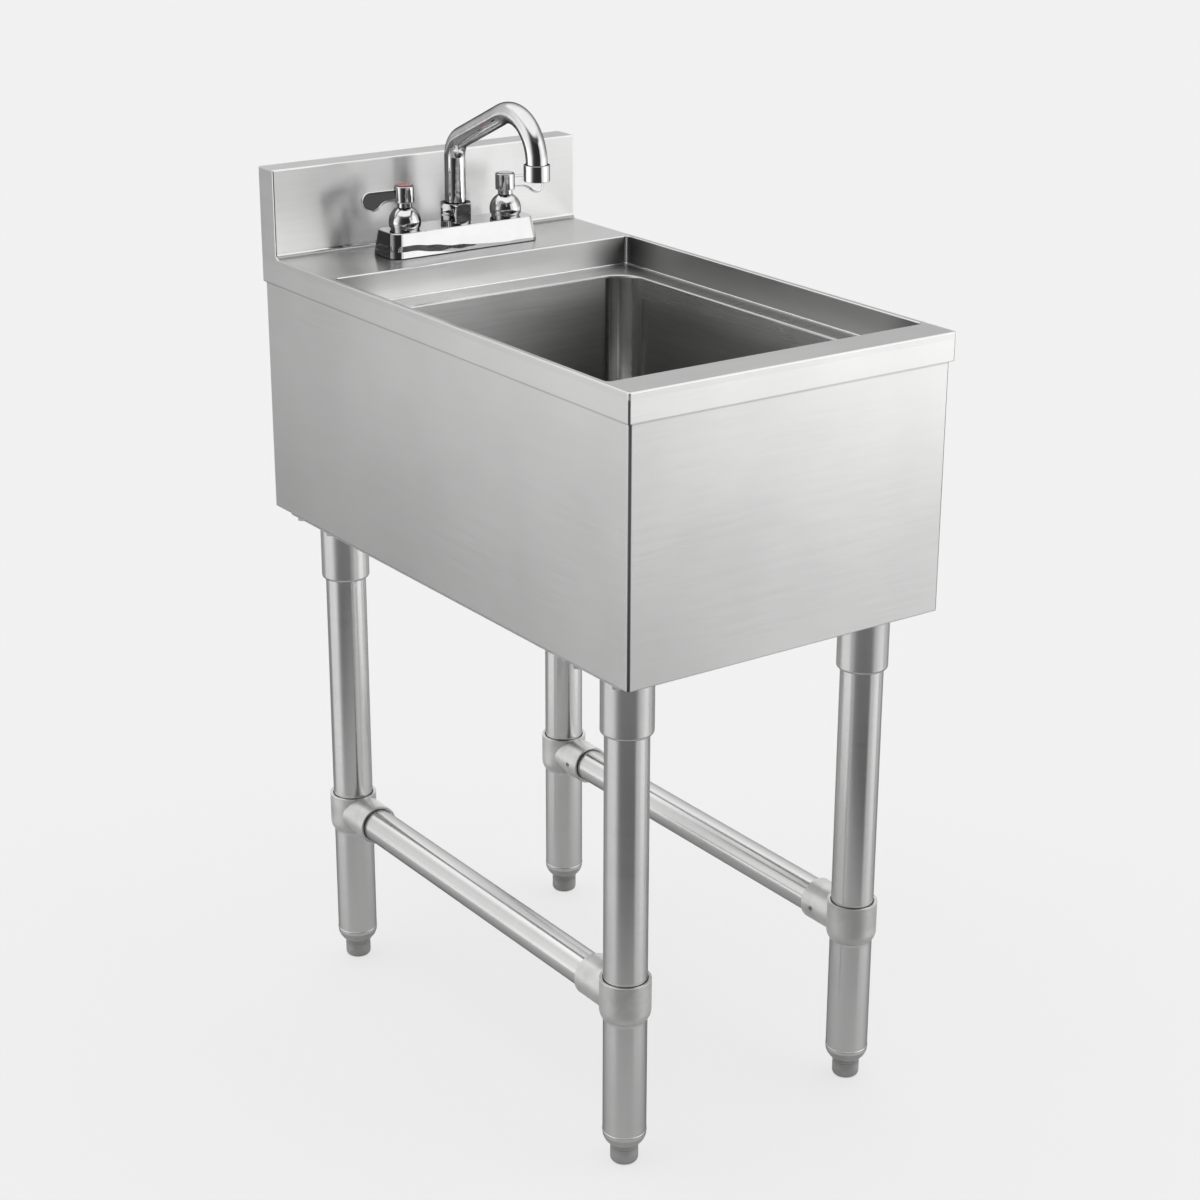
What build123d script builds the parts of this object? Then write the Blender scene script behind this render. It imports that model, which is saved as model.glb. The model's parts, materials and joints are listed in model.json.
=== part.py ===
from build123d import *
import math
import os

# Underbar hand sink: a sheet steel sink top with a drawn bowl and an apron, on four tube legs
# with side rails, with a deck faucet and a basket drain.
# Lengths are millimetres. X runs right, Y to the back, Z up, and the origin is on the floor
# under the middle of the sink.

# Overall sizes
width = 304.8
depth = 533.4
rim_height = 652.0
splash_rise = 75.0
splash_depth = 25.4

# Sheet and fits
sheet = 1.2
channel_sheet = 2.0
weld_gap = 0.1
slip_gap = 0.15
running_gap = 0.06
clear_gap = 0.3

# Sink top
rim_drop = 23.0
rim_overhang = 2.8
rim_corner = 2.0
fold_radius = 1.2
front_rim = 33.0
deck_depth = 90.0
cove_radius = 4.0
well_depth = 25.0
well_corner = 4.0
well_edge_radius = 1.0
lip_width = 8.0

# Bowl
side_ledge = 22.0
end_ledge = 28.0
bowl_corner = 25.0
bowl_foot_radius = 20.0
bowl_edge_radius = 2.0
bowl_floor_rise = 22.0
drain_recess_margin = 2.0
drain_recess_depth = 2.5
drain_hole_gap = 0.8

# Apron and what braces it
apron_drop = 225.0
apron_corner = 2.5
apron_fold_radius = 0.8
hem_width = 12.0
brace_width = 18.0
brace_height = 40.0
brace_sheet = 1.5

# Leg channels
channel_lip_inset = 1.6
channel_plate_gap = 1.95
channel_flange = 14.0
channel_rear_inset = 26.0
bolt_edge = 6.4
bolt_reach = 25.0
bolt_radius = 2.0
bolt_head_flats = 7.0
bolt_head_height = 3.0
bolt_tail = 1.0

# Legs, sockets, tees and rails
leg_inset_front = 50.0
leg_inset_rear = 61.0
leg_radius = 17.5
leg_wall = 1.5
leg_low = 26.0
socket_wall = 3.1
socket_length = 55.0
socket_nose = 2.6
socket_plate_outer_margin = 0.85
socket_plate_inner_margin = 6.0
socket_plate_end_margin = 8.0
socket_plate_height = 3.0
rail_height = 147.5
rail_radius = 14.8
rail_wall = 1.5
rail_end_gap = 1.5
tee_wall = 3.0
tee_taper = 8.0
tee_nose_wall = 0.5
branch_wall = 2.75
branch_stand = 0.7
branch_reach = 23.35
mouth_gap = 0.8
mouth_depth = 3.0
set_screw_radius = 2.4
set_screw_key = 1.3
set_screw_key_depth = 1.2
set_screw_sink = 0.5
tee_screw_setback = 12.0
socket_screw_drop = 18.0

# Feet
insert_length = 30.0
foot_height = 17.0
foot_radius = 11.25
foot_round = 4.0
foot_groove = 0.4
foot_groove_drop = 2.2
foot_groove_width = 0.8
foot_seat_gap = 0.2
foot_stem_radius = 6.0
foot_stem_length = 45.0
insert_shoulder = 0.6
insert_start = (-0.25, -1)

# Faucet body, on two shanks at the four inch standard centres
faucet_to_splash = 42.3
faucet_centres = 101.6
faucet_end = 23.0
faucet_depth = 40.0
faucet_height = 20.4
faucet_top_draft_x = 2.5
faucet_top_draft_y = 3.5
faucet_corner = 9.0
faucet_wall = 3.0
gasket_height = 0.8
gasket_inset = 1.0
shank_radius = 10.45
shank_wall = 3.95
deck_hole_gap = 3.55
shank_drop = 52.0
shank_relief = 0.3
shank_washer_lap = 3.0
shank_washer_height = 1.2
shank_nut_wall = 5.05
shank_nut_height = 8.5

# Valves and handles
cartridge_radius = 8.0
cartridge_low_rise = 3.0
cartridge_neck_radius = 6.8
cartridge_neck_rise = 9.5
stem_radius = 4.0
stem_stand = 1.0
bonnet_radius = 13.7
bonnet_base_inset = 1.5
bonnet_base_height = 2.0
bonnet_centre_rise = 6.2
bonnet_top_radius = 6.3
bonnet_wall = 2.2
hub_gap = 0.5
neck_inset = 0.1
neck_height = 4.0
hub_radius = 8.4
hub_height = 14.0
hub_round = 0.8
stem_seat_depth = 5.8
handle_screw_radius = 1.9
handle_screw_length = 10.0
handle_screw_head_radius = 3.8
handle_screw_head_height = 3.0
handle_screw_slot = 1.0
index_wall = 1.9
index_height = 2.4
index_stand = 0.8
blade_rise = 11.0
blade_tilt = 63.0
blade_droop = 6.0
blade_turns = {"hot": 14.0, "cold": 0.0}
blade_reach = 30.0
blade_tip_radius = 8.6
blade_tip_drop = 2.2
blade_neck_half = 4.8
blade_thickness = 3.4
blade_round = 1.2
blade_blend = 12.0
blade_dish_inset = 2.3
blade_dish_depth = 0.5

# Spout
spout_radius = 8.9
spout_wall = 2.0
spout_reach = 125.5
spout_corner_height = 89.7
spout_slope = 23.9
spout_low_bend = 20.0
spout_top_bend = 36.6
spout_tail_turn = 0.9
spout_tail_length = 18.0
spout_flange_height = 2.7
o_ring_room = 1.4
spout_boss_wall = 1.5
spout_boss_rise = 8.0
o_ring_gap = 0.04
nut_wall = 1.9
nut_height = 17.5
nut_base_height = 2.4
nut_shoulder = 3.0
nut_dome_share = 0.3
aerator_collar = 1.75
aerator_height = 13.5
aerator_wall = 1.6
aerator_lap = 1.0
aerator_lip = 1.2
aerator_hole_radius = 0.8
aerator_rings = {0.68: 16, 0.34: 8}

# Drain
drain_flange_width = 20.0
drain_flange_height = 1.8
drain_body_radius = 23.0
drain_body_wall = 2.5
drain_body_length = 41.5
drain_gasket_width = 13.0
drain_gasket_height = 3.0
drain_nut_wall = 10.0
drain_nut_height = 9.0
drain_nut_lugs = 6
drain_nut_lug = 5.0
tailpiece_radius = 19.05
tailpiece_wall = 1.0
tailpiece_relief = 0.4
tailpiece_length = 55.0
tailpiece_flange_gap = 0.5
tailpiece_flange_height = 2.0
slip_washer_height = 2.0
slip_nut_wall = 4.0
slip_nut_height = 16.0
slip_nut_lip = 2.5
strainer_lap = 6.5
strainer_sheet = 1.0
strainer_cup_gap = 2.0
strainer_cup_depth = 12.0
strainer_hole_radius = 1.7
strainer_rings = {0.5: 8, 0.8: 16}
strainer_knob_radius = 4.5
strainer_knob_rise = 4.0

# Places that follow from the sizes
half_width = width / 2
front = -depth / 2
rear = depth / 2
splash_top = rim_height + splash_rise
splash_face = rear - splash_depth
skirt_low = rim_height - rim_drop
apron_half = half_width - rim_overhang
apron_front = front + rim_overhang
apron_rear = rear - sheet - weld_gap
apron_low = rim_height - apron_drop
apron_top = rim_height - sheet - weld_gap
well_half = apron_half - sheet - weld_gap - sheet
well_front = front + front_rim
well_rear = splash_face - deck_depth
ledge_top = rim_height - well_depth
lip_low = ledge_top - 2 * sheet
bowl_half = well_half - side_ledge
bowl_front = well_front + end_ledge
bowl_rear = well_rear - end_ledge
bowl_middle = (bowl_front + bowl_rear) / 2
bowl_floor = apron_low + bowl_floor_rise
socket_radius = leg_radius + slip_gap + socket_wall
socket_low = apron_low - socket_length
socket_plate_outer = apron_half - hem_width - clear_gap
leg_x = socket_plate_outer - socket_plate_outer_margin - socket_radius
leg_front = front + leg_inset_front
leg_rear = rear - leg_inset_rear
socket_plate_inner = leg_x - socket_radius - socket_plate_inner_margin
channel_low = apron_low - channel_sheet
channel_outer = apron_half - channel_lip_inset
channel_inner = socket_plate_inner - channel_plate_gap - channel_sheet
tee_radius = leg_radius + slip_gap + tee_wall
branch_radius = rail_radius + slip_gap + branch_wall
branch_length = tee_radius + branch_reach
tee_low = rail_height - branch_radius + branch_stand
tee_top = rail_height + branch_radius - branch_stand
tee_screw_reach = branch_length - tee_screw_setback
faucet_y = splash_face - faucet_to_splash
faucet_low = rim_height + gasket_height
faucet_top = faucet_low + faucet_height
faucet_length = faucet_centres + 2 * faucet_end
valve_x = faucet_centres / 2
deck_hole_radius = shank_radius + deck_hole_gap
neck_radius = bonnet_top_radius - neck_inset
index_radius = hub_radius - index_wall
bonnet_centre = faucet_top + bonnet_centre_rise
bonnet_top = bonnet_centre + math.sqrt(bonnet_radius**2 - bonnet_top_radius**2)
hub_low = bonnet_top + hub_gap
hub_top = hub_low + neck_height + hub_height
stem_top = hub_top - stem_seat_depth
spout_bore = spout_radius - spout_wall
spout_tail_radius = spout_radius - spout_tail_turn
spout_boss_bore = spout_tail_radius + o_ring_room
spout_boss_radius = spout_boss_bore + spout_boss_wall
spout_flange_radius = spout_boss_radius - clear_gap
nut_flats = 2 * (spout_boss_radius + nut_wall)
aerator_radius = spout_radius + weld_gap + aerator_collar
drain_body_bore = drain_body_radius - drain_body_wall
drain_flange_radius = drain_body_radius + drain_flange_width
drain_recess_radius = drain_flange_radius + drain_recess_margin
drain_hole_radius = drain_body_radius + drain_hole_gap
tailpiece_flange_radius = drain_body_radius - tailpiece_flange_gap
strainer_radius = drain_body_bore + strainer_lap
strainer_cup_radius = drain_body_bore - strainer_cup_gap
recess_floor = bowl_floor - drain_recess_depth
drain_end = recess_floor - drain_body_length

corners = {
    "front_left": (-1, -1),
    "front_right": (1, -1),
    "rear_left": (-1, 1),
    "rear_right": (1, 1),
}
leg_rows = {-1: leg_front, 1: leg_rear}
sides = {"left": -1, "right": 1}
valves = {"hot": -1, "cold": 1}

os.makedirs("parts", exist_ok=True)


def save(builder, node):
    builder.part.label = node
    export_step(builder.part, f"parts/{node}.step")


def span(x_low, x_high, y_low, y_high):
    """A rectangle between two X and two Y values, in the open sketch."""
    with Locations(((x_low + x_high) / 2, (y_low + y_high) / 2)):
        Rectangle(x_high - x_low, y_high - y_low)


def rounded_span(x_half, y_low, y_high, corner):
    """A rectangle with round corners, centred across the sink, in the open sketch."""
    with Locations((0, (y_low + y_high) / 2)):
        RectangleRounded(2 * x_half, y_high - y_low, corner)


def upright(x, y):
    """The plane through an upright axis at x, y: its X is outwards, its Y is the height."""
    return Plane(origin=(x, y, 0), x_dir=(1, 0, 0), z_dir=(0, -1, 0))


def rings(places, outer, inner, low, high):
    """One upright tube at each place."""
    with BuildPart() as group:
        with BuildSketch(Plane.XY.offset(low)):
            with Locations(*places):
                Circle(outer)
                Circle(inner, mode=Mode.SUBTRACT)
        extrude(amount=high - low)
    return group


# Sink top: deck, rim, splashback and well in one folded and welded sheet
with BuildPart() as sink_top:
    with BuildSketch(Plane.YZ) as side_view:
        with BuildLine():
            Polyline(
                (front, skirt_low),
                (rear, skirt_low),
                (rear, splash_top),
                (splash_face, splash_top),
                (splash_face, rim_height),
                (front, rim_height),
                close=True,
            )
        make_face()
        fillet(side_view.vertices().sort_by_distance((splash_face, rim_height))[0], cove_radius)
    extrude(amount=half_width, both=True)
    fillet(sink_top.edges().filter_by(Axis.Z).group_by(Axis.Y)[0], rim_corner)
    folds = sink_top.edges().filter_by(lambda edge: edge.center().Z > rim_height - rim_corner)
    cove_edges = folds.filter_by(Axis.X).filter_by(
        lambda edge: edge.center().Z < splash_top - fold_radius and edge.center().Y > 0
    )
    fillet(folds - cove_edges, fold_radius)
    # Hollow underside
    with BuildSketch(Plane.YZ) as inside_view:
        with BuildLine():
            Polyline(
                (front + sheet, skirt_low + sheet),
                (rear - sheet, skirt_low + sheet),
                (rear - sheet, splash_top - sheet),
                (splash_face + sheet, splash_top - sheet),
                (splash_face + sheet, rim_height - sheet),
                (front + sheet, rim_height - sheet),
                close=True,
            )
        make_face()
        inner_cove = inside_view.vertices().sort_by_distance((splash_face + sheet, rim_height - sheet))
        fillet(inner_cove[0], cove_radius - sheet)
    extrude(amount=half_width - sheet, both=True, mode=Mode.SUBTRACT)
    with BuildSketch(Plane.XY.offset(skirt_low)):
        span(-apron_half - weld_gap, apron_half + weld_gap, apron_front - weld_gap, rear - sheet)
    extrude(amount=sheet, mode=Mode.SUBTRACT)
    # Well that carries the bowl on its lip
    with BuildSketch(Plane.XY.offset(lip_low)):
        rounded_span(well_half + sheet, well_front - sheet, well_rear + sheet, well_corner + sheet)
    extrude(amount=rim_height - lip_low)
    with BuildSketch(Plane.XY.offset(lip_low + sheet)):
        rounded_span(well_half, well_front, well_rear, well_corner)
    extrude(amount=rim_height - lip_low, mode=Mode.SUBTRACT)
    with BuildSketch(Plane.XY.offset(lip_low)):
        rounded_span(
            well_half - lip_width, well_front + lip_width, well_rear - lip_width, well_corner
        )
    extrude(amount=sheet, mode=Mode.SUBTRACT)
    well_edges = sink_top.edges().filter_by_position(Axis.Z, rim_height, rim_height).filter_by(
        lambda edge: abs(edge.center().X) < well_half + sheet
        and well_front - sheet < edge.center().Y < well_rear + sheet
    )
    fillet(well_edges, well_edge_radius)
    # Holes for the two faucet shanks
    with BuildSketch(Plane.XY.offset(rim_height - sheet)):
        with Locations((-valve_x, faucet_y), (valve_x, faucet_y)):
            Circle(deck_hole_radius)
    extrude(amount=sheet, mode=Mode.SUBTRACT)
save(sink_top, "sink_top")


def bowl_block(inset):
    """The bowl as a solid block, inset inwards from its outer faces."""
    floor = bowl_floor - sheet + inset
    with BuildPart() as block:
        with BuildSketch(Plane.XY.offset(floor)):
            rounded_span(
                bowl_half + sheet - inset,
                bowl_front - sheet + inset,
                bowl_rear + sheet - inset,
                bowl_corner + sheet - inset,
            )
        extrude(amount=ledge_top - floor)
        fillet(block.faces().sort_by(Axis.Z)[0].edges(), bowl_foot_radius + sheet - inset)
    return block


# Bowl: a drawn pan whose flange lies on the well's lip
bowl_outside = bowl_block(0)
bowl_inside = bowl_block(sheet)
with BuildPart() as bowl:
    add(bowl_outside.part)
    with BuildSketch(Plane.XY.offset(ledge_top - sheet)):
        rounded_span(
            well_half - weld_gap, well_front + weld_gap, well_rear - weld_gap, well_corner - weld_gap
        )
    extrude(amount=sheet)
    under_edges = bowl.edges().filter_by_position(Axis.Z, ledge_top - sheet, ledge_top - sheet)
    under_loop = under_edges.filter_by(
        lambda edge: abs(edge.center().X) < bowl_half + 2 * sheet
        and bowl_front - 2 * sheet < edge.center().Y < bowl_rear + 2 * sheet
    )
    fillet(under_loop, bowl_edge_radius - sheet)
    add(bowl_inside.part, mode=Mode.SUBTRACT)
    mouth_loop = (
        bowl.edges()
        .filter_by_position(Axis.Z, ledge_top, ledge_top)
        .filter_by(
            lambda edge: abs(edge.center().X) < bowl_half + sheet
            and bowl_front - sheet < edge.center().Y < bowl_rear + sheet
        )
    )
    fillet(mouth_loop, bowl_edge_radius)
    with BuildSketch(Plane.XY.offset(recess_floor - sheet)):
        with Locations((0, bowl_middle)):
            Circle(drain_recess_radius + sheet)
    extrude(amount=bowl_floor - recess_floor + sheet)
    with BuildSketch(Plane.XY.offset(recess_floor)):
        with Locations((0, bowl_middle)):
            Circle(drain_recess_radius)
    extrude(amount=bowl_floor - recess_floor, mode=Mode.SUBTRACT)
    with BuildSketch(Plane.XY.offset(recess_floor - sheet)):
        with Locations((0, bowl_middle)):
            Circle(drain_hole_radius)
    extrude(amount=sheet, mode=Mode.SUBTRACT)
save(bowl, "bowl")

# Channel bolts stand beside each leg, through the hem of the apron
bolt_places = []
for side, end in corners.values():
    for step in (-bolt_reach, bolt_reach):
        bolt_places.append((side * (apron_half - bolt_edge), leg_rows[end] + step))

# Apron: one sheet folded round the front and both sides, with its lower edge turned in
with BuildPart() as apron:
    with BuildSketch(Plane.XY.offset(apron_low)) as plan:
        span(-apron_half, apron_half, apron_front, apron_rear)
        fillet(plan.vertices().group_by(Axis.Y)[0], apron_corner)
    extrude(amount=apron_top - apron_low)
    low_edges = apron.edges().filter_by_position(Axis.Z, apron_low, apron_low)
    fillet(low_edges.sort_by(Axis.Y)[:-1], apron_fold_radius)
    with BuildSketch(Plane.XY.offset(apron_low + sheet)) as inner_plan:
        span(-apron_half + sheet, apron_half - sheet, apron_front + sheet, rear)
        fillet(inner_plan.vertices().group_by(Axis.Y)[0], apron_corner - sheet)
    extrude(amount=apron_top - apron_low, mode=Mode.SUBTRACT)
    with BuildSketch(Plane.XY.offset(apron_low)):
        span(-apron_half + hem_width, apron_half - hem_width, apron_front + hem_width, rear)
    extrude(amount=sheet, mode=Mode.SUBTRACT)
    with BuildSketch(Plane.XY.offset(apron_low)):
        with Locations(*bolt_places):
            Circle(bolt_radius + slip_gap)
    extrude(amount=sheet, mode=Mode.SUBTRACT)
save(apron, "apron")

# Rear brace: an angle that ties the two sides together under the open back
brace_low = apron_low + sheet + weld_gap
brace_half = apron_half - sheet - weld_gap
with BuildPart() as rear_brace:
    with BuildSketch(Plane.XY.offset(brace_low)):
        span(-brace_half, brace_half, apron_rear - brace_width, apron_rear)
    extrude(amount=brace_sheet)
    with BuildSketch(Plane.XY.offset(brace_low)):
        span(-brace_half, brace_half, apron_rear - brace_sheet, apron_rear)
    extrude(amount=brace_height)
save(rear_brace, "rear_brace")

# Leg channels, under the hem on each side
channel_front = apron_front + hem_width + clear_gap
channel_rear = rear - channel_rear_inset
for side_name, side in sides.items():
    outer, inner = side * channel_outer, side * channel_inner
    flange_face = inner + side * channel_sheet
    with BuildPart() as channel:
        with BuildSketch(Plane.XY.offset(channel_low)):
            span(min(outer, inner), max(outer, inner), channel_front, channel_rear)
            with Locations((side * leg_x, leg_front), (side * leg_x, leg_rear)):
                Circle(socket_radius + slip_gap, mode=Mode.SUBTRACT)
            with Locations(*[place for place in bolt_places if place[0] * side > 0]):
                Circle(bolt_radius + slip_gap, mode=Mode.SUBTRACT)
        extrude(amount=channel_sheet)
        with BuildSketch(Plane.XY.offset(apron_low)):
            span(min(inner, flange_face), max(inner, flange_face), channel_front, channel_rear)
        extrude(amount=channel_flange)
    save(channel, f"channel_{side_name}")

# Bolts with their heads below the channel, and nuts on the hem
nut_seat = apron_low + sheet
with BuildPart() as channel_bolts:
    with BuildSketch(Plane.XY.offset(channel_low - bolt_head_height)):
        with Locations(*bolt_places):
            RegularPolygon(bolt_head_flats / 2, 6, major_radius=False)
    extrude(amount=bolt_head_height)
    with BuildSketch(Plane.XY.offset(channel_low)):
        with Locations(*bolt_places):
            Circle(bolt_radius)
    extrude(amount=nut_seat - channel_low + bolt_head_height + bolt_tail)
save(channel_bolts, "channel_bolts")

with BuildPart() as channel_nuts:
    with BuildSketch(Plane.XY.offset(nut_seat)):
        with Locations(*bolt_places):
            RegularPolygon(bolt_head_flats / 2, 6, major_radius=False)
            Circle(bolt_radius + running_gap, mode=Mode.SUBTRACT)
    extrude(amount=bolt_head_height)
save(channel_nuts, "channel_nuts")

# Sockets: a flanged sleeve through the channel for each leg
socket_screw_z = socket_low + socket_screw_drop
for name, (side, end) in corners.items():
    x, y = side * leg_x, leg_rows[end]
    plate_outer, plate_inner = side * socket_plate_outer, side * socket_plate_inner
    plate_reach = socket_radius + socket_plate_end_margin
    with BuildPart() as socket:
        with BuildSketch(Plane.XY.offset(socket_low)):
            with Locations((x, y)):
                Circle(socket_radius)
        extrude(amount=apron_low - socket_low)
        fillet(socket.edges().sort_by(Axis.Z)[0], socket_nose)
        with BuildSketch(Plane.XY.offset(apron_low)):
            span(
                min(plate_outer, plate_inner),
                max(plate_outer, plate_inner),
                y - plate_reach,
                y + plate_reach,
            )
        extrude(amount=socket_plate_height)
        with BuildSketch(Plane.XY.offset(socket_low)):
            with Locations((x, y)):
                Circle(leg_radius + slip_gap)
        extrude(amount=apron_low - socket_low, mode=Mode.SUBTRACT)
        with BuildSketch(Plane(origin=(x, y, socket_screw_z), z_dir=(0, 1, 0))):
            Circle(set_screw_radius + slip_gap)
        extrude(amount=2 * socket_radius, mode=Mode.SUBTRACT)
    save(socket, f"socket_{name}")


def set_screws(places, reach, length):
    """One grub screw with a hex key hole at each place: its axis leaves the tube it holds."""
    with BuildPart() as screws:
        for origin, outwards in places:
            base = Plane(origin=origin, z_dir=outwards).offset(reach)
            with BuildSketch(base):
                Circle(set_screw_radius)
            extrude(amount=length)
            with BuildSketch(base.offset(length - set_screw_key_depth)):
                RegularPolygon(set_screw_key, 6)
            extrude(amount=set_screw_key_depth, mode=Mode.SUBTRACT)
    return screws


socket_screw_length = slip_gap + socket_wall - weld_gap - set_screw_sink
socket_screws = set_screws(
    [((side * leg_x, leg_rows[end], socket_screw_z), (0, 1, 0)) for side, end in corners.values()],
    leg_radius + weld_gap,
    socket_screw_length,
)
save(socket_screws, "socket_set_screws")

# Legs
leg_top = apron_low - weld_gap
for name, (side, end) in corners.items():
    place = (side * leg_x, leg_rows[end])
    leg = rings([place], leg_radius, leg_radius - leg_wall, leg_low, leg_top)
    save(leg, f"leg_{name}")

# Tees: a collar round each leg, with a branch towards the other leg of its side
for name, (side, end) in corners.items():
    x, y = side * leg_x, leg_rows[end]
    nose_radius = leg_radius + slip_gap + tee_nose_wall
    with BuildPart() as tee:
        with BuildSketch(upright(x, y)):
            with BuildLine():
                Polyline((0, tee_low), (0, tee_top), (tee_radius, tee_top), (tee_radius, tee_low + tee_taper))
                TangentArc((tee_radius, tee_low + tee_taper), (nose_radius, tee_low), tangent=(0, -1))
                Line((nose_radius, tee_low), (0, tee_low))
            make_face()
        revolve(axis=Axis((x, y, 0), (0, 0, 1)))
        branch_plane = Plane(origin=(x, y, rail_height), z_dir=(0, -end, 0))
        with BuildSketch(branch_plane):
            Circle(branch_radius)
        extrude(amount=branch_length)
        with BuildSketch(Plane.XY.offset(tee_top)):
            with Locations((x, y)):
                Circle(tee_radius)
        extrude(amount=branch_radius, mode=Mode.SUBTRACT)
        with BuildSketch(Plane.XY.offset(tee_low)):
            with Locations((x, y)):
                Circle(nose_radius)
        extrude(amount=-branch_radius, mode=Mode.SUBTRACT)
        with BuildSketch(Plane.XY.offset(tee_low)):
            with Locations((x, y)):
                Circle(leg_radius + slip_gap)
        extrude(amount=tee_top - tee_low, mode=Mode.SUBTRACT)
        with BuildSketch(Plane.XY.offset(tee_top - mouth_depth)):
            with Locations((x, y)):
                Circle(leg_radius + mouth_gap)
        extrude(amount=mouth_depth, mode=Mode.SUBTRACT)
        with BuildSketch(branch_plane):
            Circle(rail_radius + slip_gap)
        extrude(amount=branch_length, mode=Mode.SUBTRACT)
        with BuildSketch(branch_plane.offset(branch_length - mouth_depth)):
            Circle(rail_radius + mouth_gap)
        extrude(amount=mouth_depth, mode=Mode.SUBTRACT)
        screw_at = (x, y - end * tee_screw_reach, rail_height)
        with BuildSketch(Plane(origin=screw_at, z_dir=(-side, 0, 0))):
            Circle(set_screw_radius + slip_gap)
        extrude(amount=2 * branch_radius, mode=Mode.SUBTRACT)
    save(tee, f"tee_{name}")

tee_screws = set_screws(
    [
        ((side * leg_x, leg_rows[end] - end * tee_screw_reach, rail_height), (-side, 0, 0))
        for side, end in corners.values()
    ],
    rail_radius + weld_gap,
    slip_gap + branch_wall - weld_gap - set_screw_sink,
)
save(tee_screws, "tee_set_screws")

# Side rails, front to back
rail_front = leg_front + leg_radius + rail_end_gap
rail_rear = leg_rear - leg_radius - rail_end_gap
for side_name, side in sides.items():
    with BuildPart() as rail:
        with BuildSketch(Plane(origin=(side * leg_x, rail_front, rail_height), z_dir=(0, 1, 0))):
            Circle(rail_radius)
            Circle(rail_radius - rail_wall, mode=Mode.SUBTRACT)
        extrude(amount=rail_rear - rail_front)
    save(rail, f"rail_{side_name}")

# Feet: an insert in the end of each leg, and a screw foot in it
stem_bore = foot_stem_radius + running_gap
insert_radius = leg_radius - leg_wall - weld_gap
foot_top = foot_height - foot_seat_gap
groove_top = foot_top - foot_groove_drop
for name, (side, end) in corners.items():
    x, y = side * leg_x, leg_rows[end]
    axis = Axis((x, y, 0), (0, 0, 1))
    with BuildPart() as foot_insert:
        with BuildSketch(upright(x, y)):
            with BuildLine():
                Polyline(
                    (foot_radius + foot_groove, foot_height),
                    (stem_bore, foot_height),
                    (stem_bore, leg_low + insert_length),
                    (insert_radius, leg_low + insert_length),
                    (insert_radius, leg_low - weld_gap),
                    (leg_radius - weld_gap, leg_low - weld_gap),
                    (leg_radius - weld_gap, leg_low - weld_gap - insert_shoulder),
                )
                TangentArc(
                    (leg_radius - weld_gap, leg_low - weld_gap - insert_shoulder),
                    (foot_radius + foot_groove, foot_height),
                    tangent=insert_start,
                )
            make_face()
        revolve(axis=axis)
    save(foot_insert, f"foot_insert_{name}")

    with BuildPart() as foot:
        with BuildSketch(upright(x, y)):
            with BuildLine():
                Polyline((foot_radius, foot_round), (foot_radius, groove_top - foot_groove_width))
                Polyline(
                    (foot_radius, groove_top - foot_groove_width),
                    (foot_radius - foot_groove, groove_top - foot_groove_width),
                    (foot_radius - foot_groove, groove_top),
                    (foot_radius, groove_top),
                    (foot_radius, foot_top),
                    (foot_stem_radius, foot_top),
                    (foot_stem_radius, foot_height + foot_stem_length),
                    (0, foot_height + foot_stem_length),
                    (0, 0),
                    (foot_radius - foot_round, 0),
                )
                TangentArc((foot_radius, foot_round), (foot_radius - foot_round, 0), tangent=(0, -1))
            make_face()
        revolve(axis=axis)
    save(foot, f"foot_{name}")


def faucet_block(inset, low, high):
    """The tapered faucet body as a solid block, inset inwards from its outer faces."""
    with BuildPart() as block:
        with BuildSketch(Plane.XY.offset(low)):
            with Locations((0, faucet_y)):
                RectangleRounded(
                    faucet_length - 2 * inset, faucet_depth - 2 * inset, faucet_corner - inset
                )
        with BuildSketch(Plane.XY.offset(high)):
            with Locations((0, faucet_y)):
                RectangleRounded(
                    faucet_length - 2 * (inset + faucet_top_draft_x),
                    faucet_depth - 2 * (inset + faucet_top_draft_y),
                    faucet_corner - inset,
                )
        loft()
    return block


# Faucet body: one casting with its two shanks, valve seats and spout boss
faucet_outside = faucet_block(0, faucet_low, faucet_top)
faucet_inside = faucet_block(faucet_wall, faucet_low, faucet_top - faucet_wall)
cartridge_low = faucet_low + cartridge_low_rise
shank_low = rim_height - shank_drop
washer_top = rim_height - sheet
shank_nut_top = washer_top - shank_washer_height
shank_free_top = shank_nut_top - shank_nut_height - clear_gap
shank_places = [(-valve_x, faucet_y), (valve_x, faucet_y)]
boss_top = faucet_top + spout_boss_rise
spout_low = boss_top - spout_tail_length
with BuildPart() as faucet_body:
    add(faucet_outside.part)
    fillet(faucet_body.faces().sort_by(Axis.Z)[-1].edges(), fold_radius)
    add(faucet_inside.part, mode=Mode.SUBTRACT)
    with BuildSketch(Plane.XY.offset(shank_low)):
        with Locations(*shank_places):
            Circle(shank_radius)
    extrude(amount=shank_free_top - shank_low)
    with BuildSketch(Plane.XY.offset(shank_free_top)):
        with Locations(*shank_places):
            Circle(shank_radius - shank_relief)
    extrude(amount=faucet_top - faucet_wall / 2 - shank_free_top)
    with BuildSketch(Plane.XY.offset(spout_low - faucet_wall)):
        with Locations((0, faucet_y)):
            Circle(spout_boss_radius)
    extrude(amount=boss_top - spout_low + faucet_wall)
    with BuildSketch(Plane.XY.offset(spout_low - weld_gap)):
        with Locations((0, faucet_y)):
            Circle(spout_boss_bore)
    extrude(amount=boss_top - spout_low + weld_gap, mode=Mode.SUBTRACT)
    with BuildSketch(Plane.XY.offset(shank_low)):
        with Locations(*shank_places):
            Circle(shank_radius - shank_wall)
    extrude(amount=cartridge_low - shank_low, mode=Mode.SUBTRACT)
    with BuildSketch(Plane.XY.offset(cartridge_low)):
        with Locations(*shank_places):
            Circle(cartridge_radius + running_gap)
    extrude(amount=faucet_height, mode=Mode.SUBTRACT)
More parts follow.
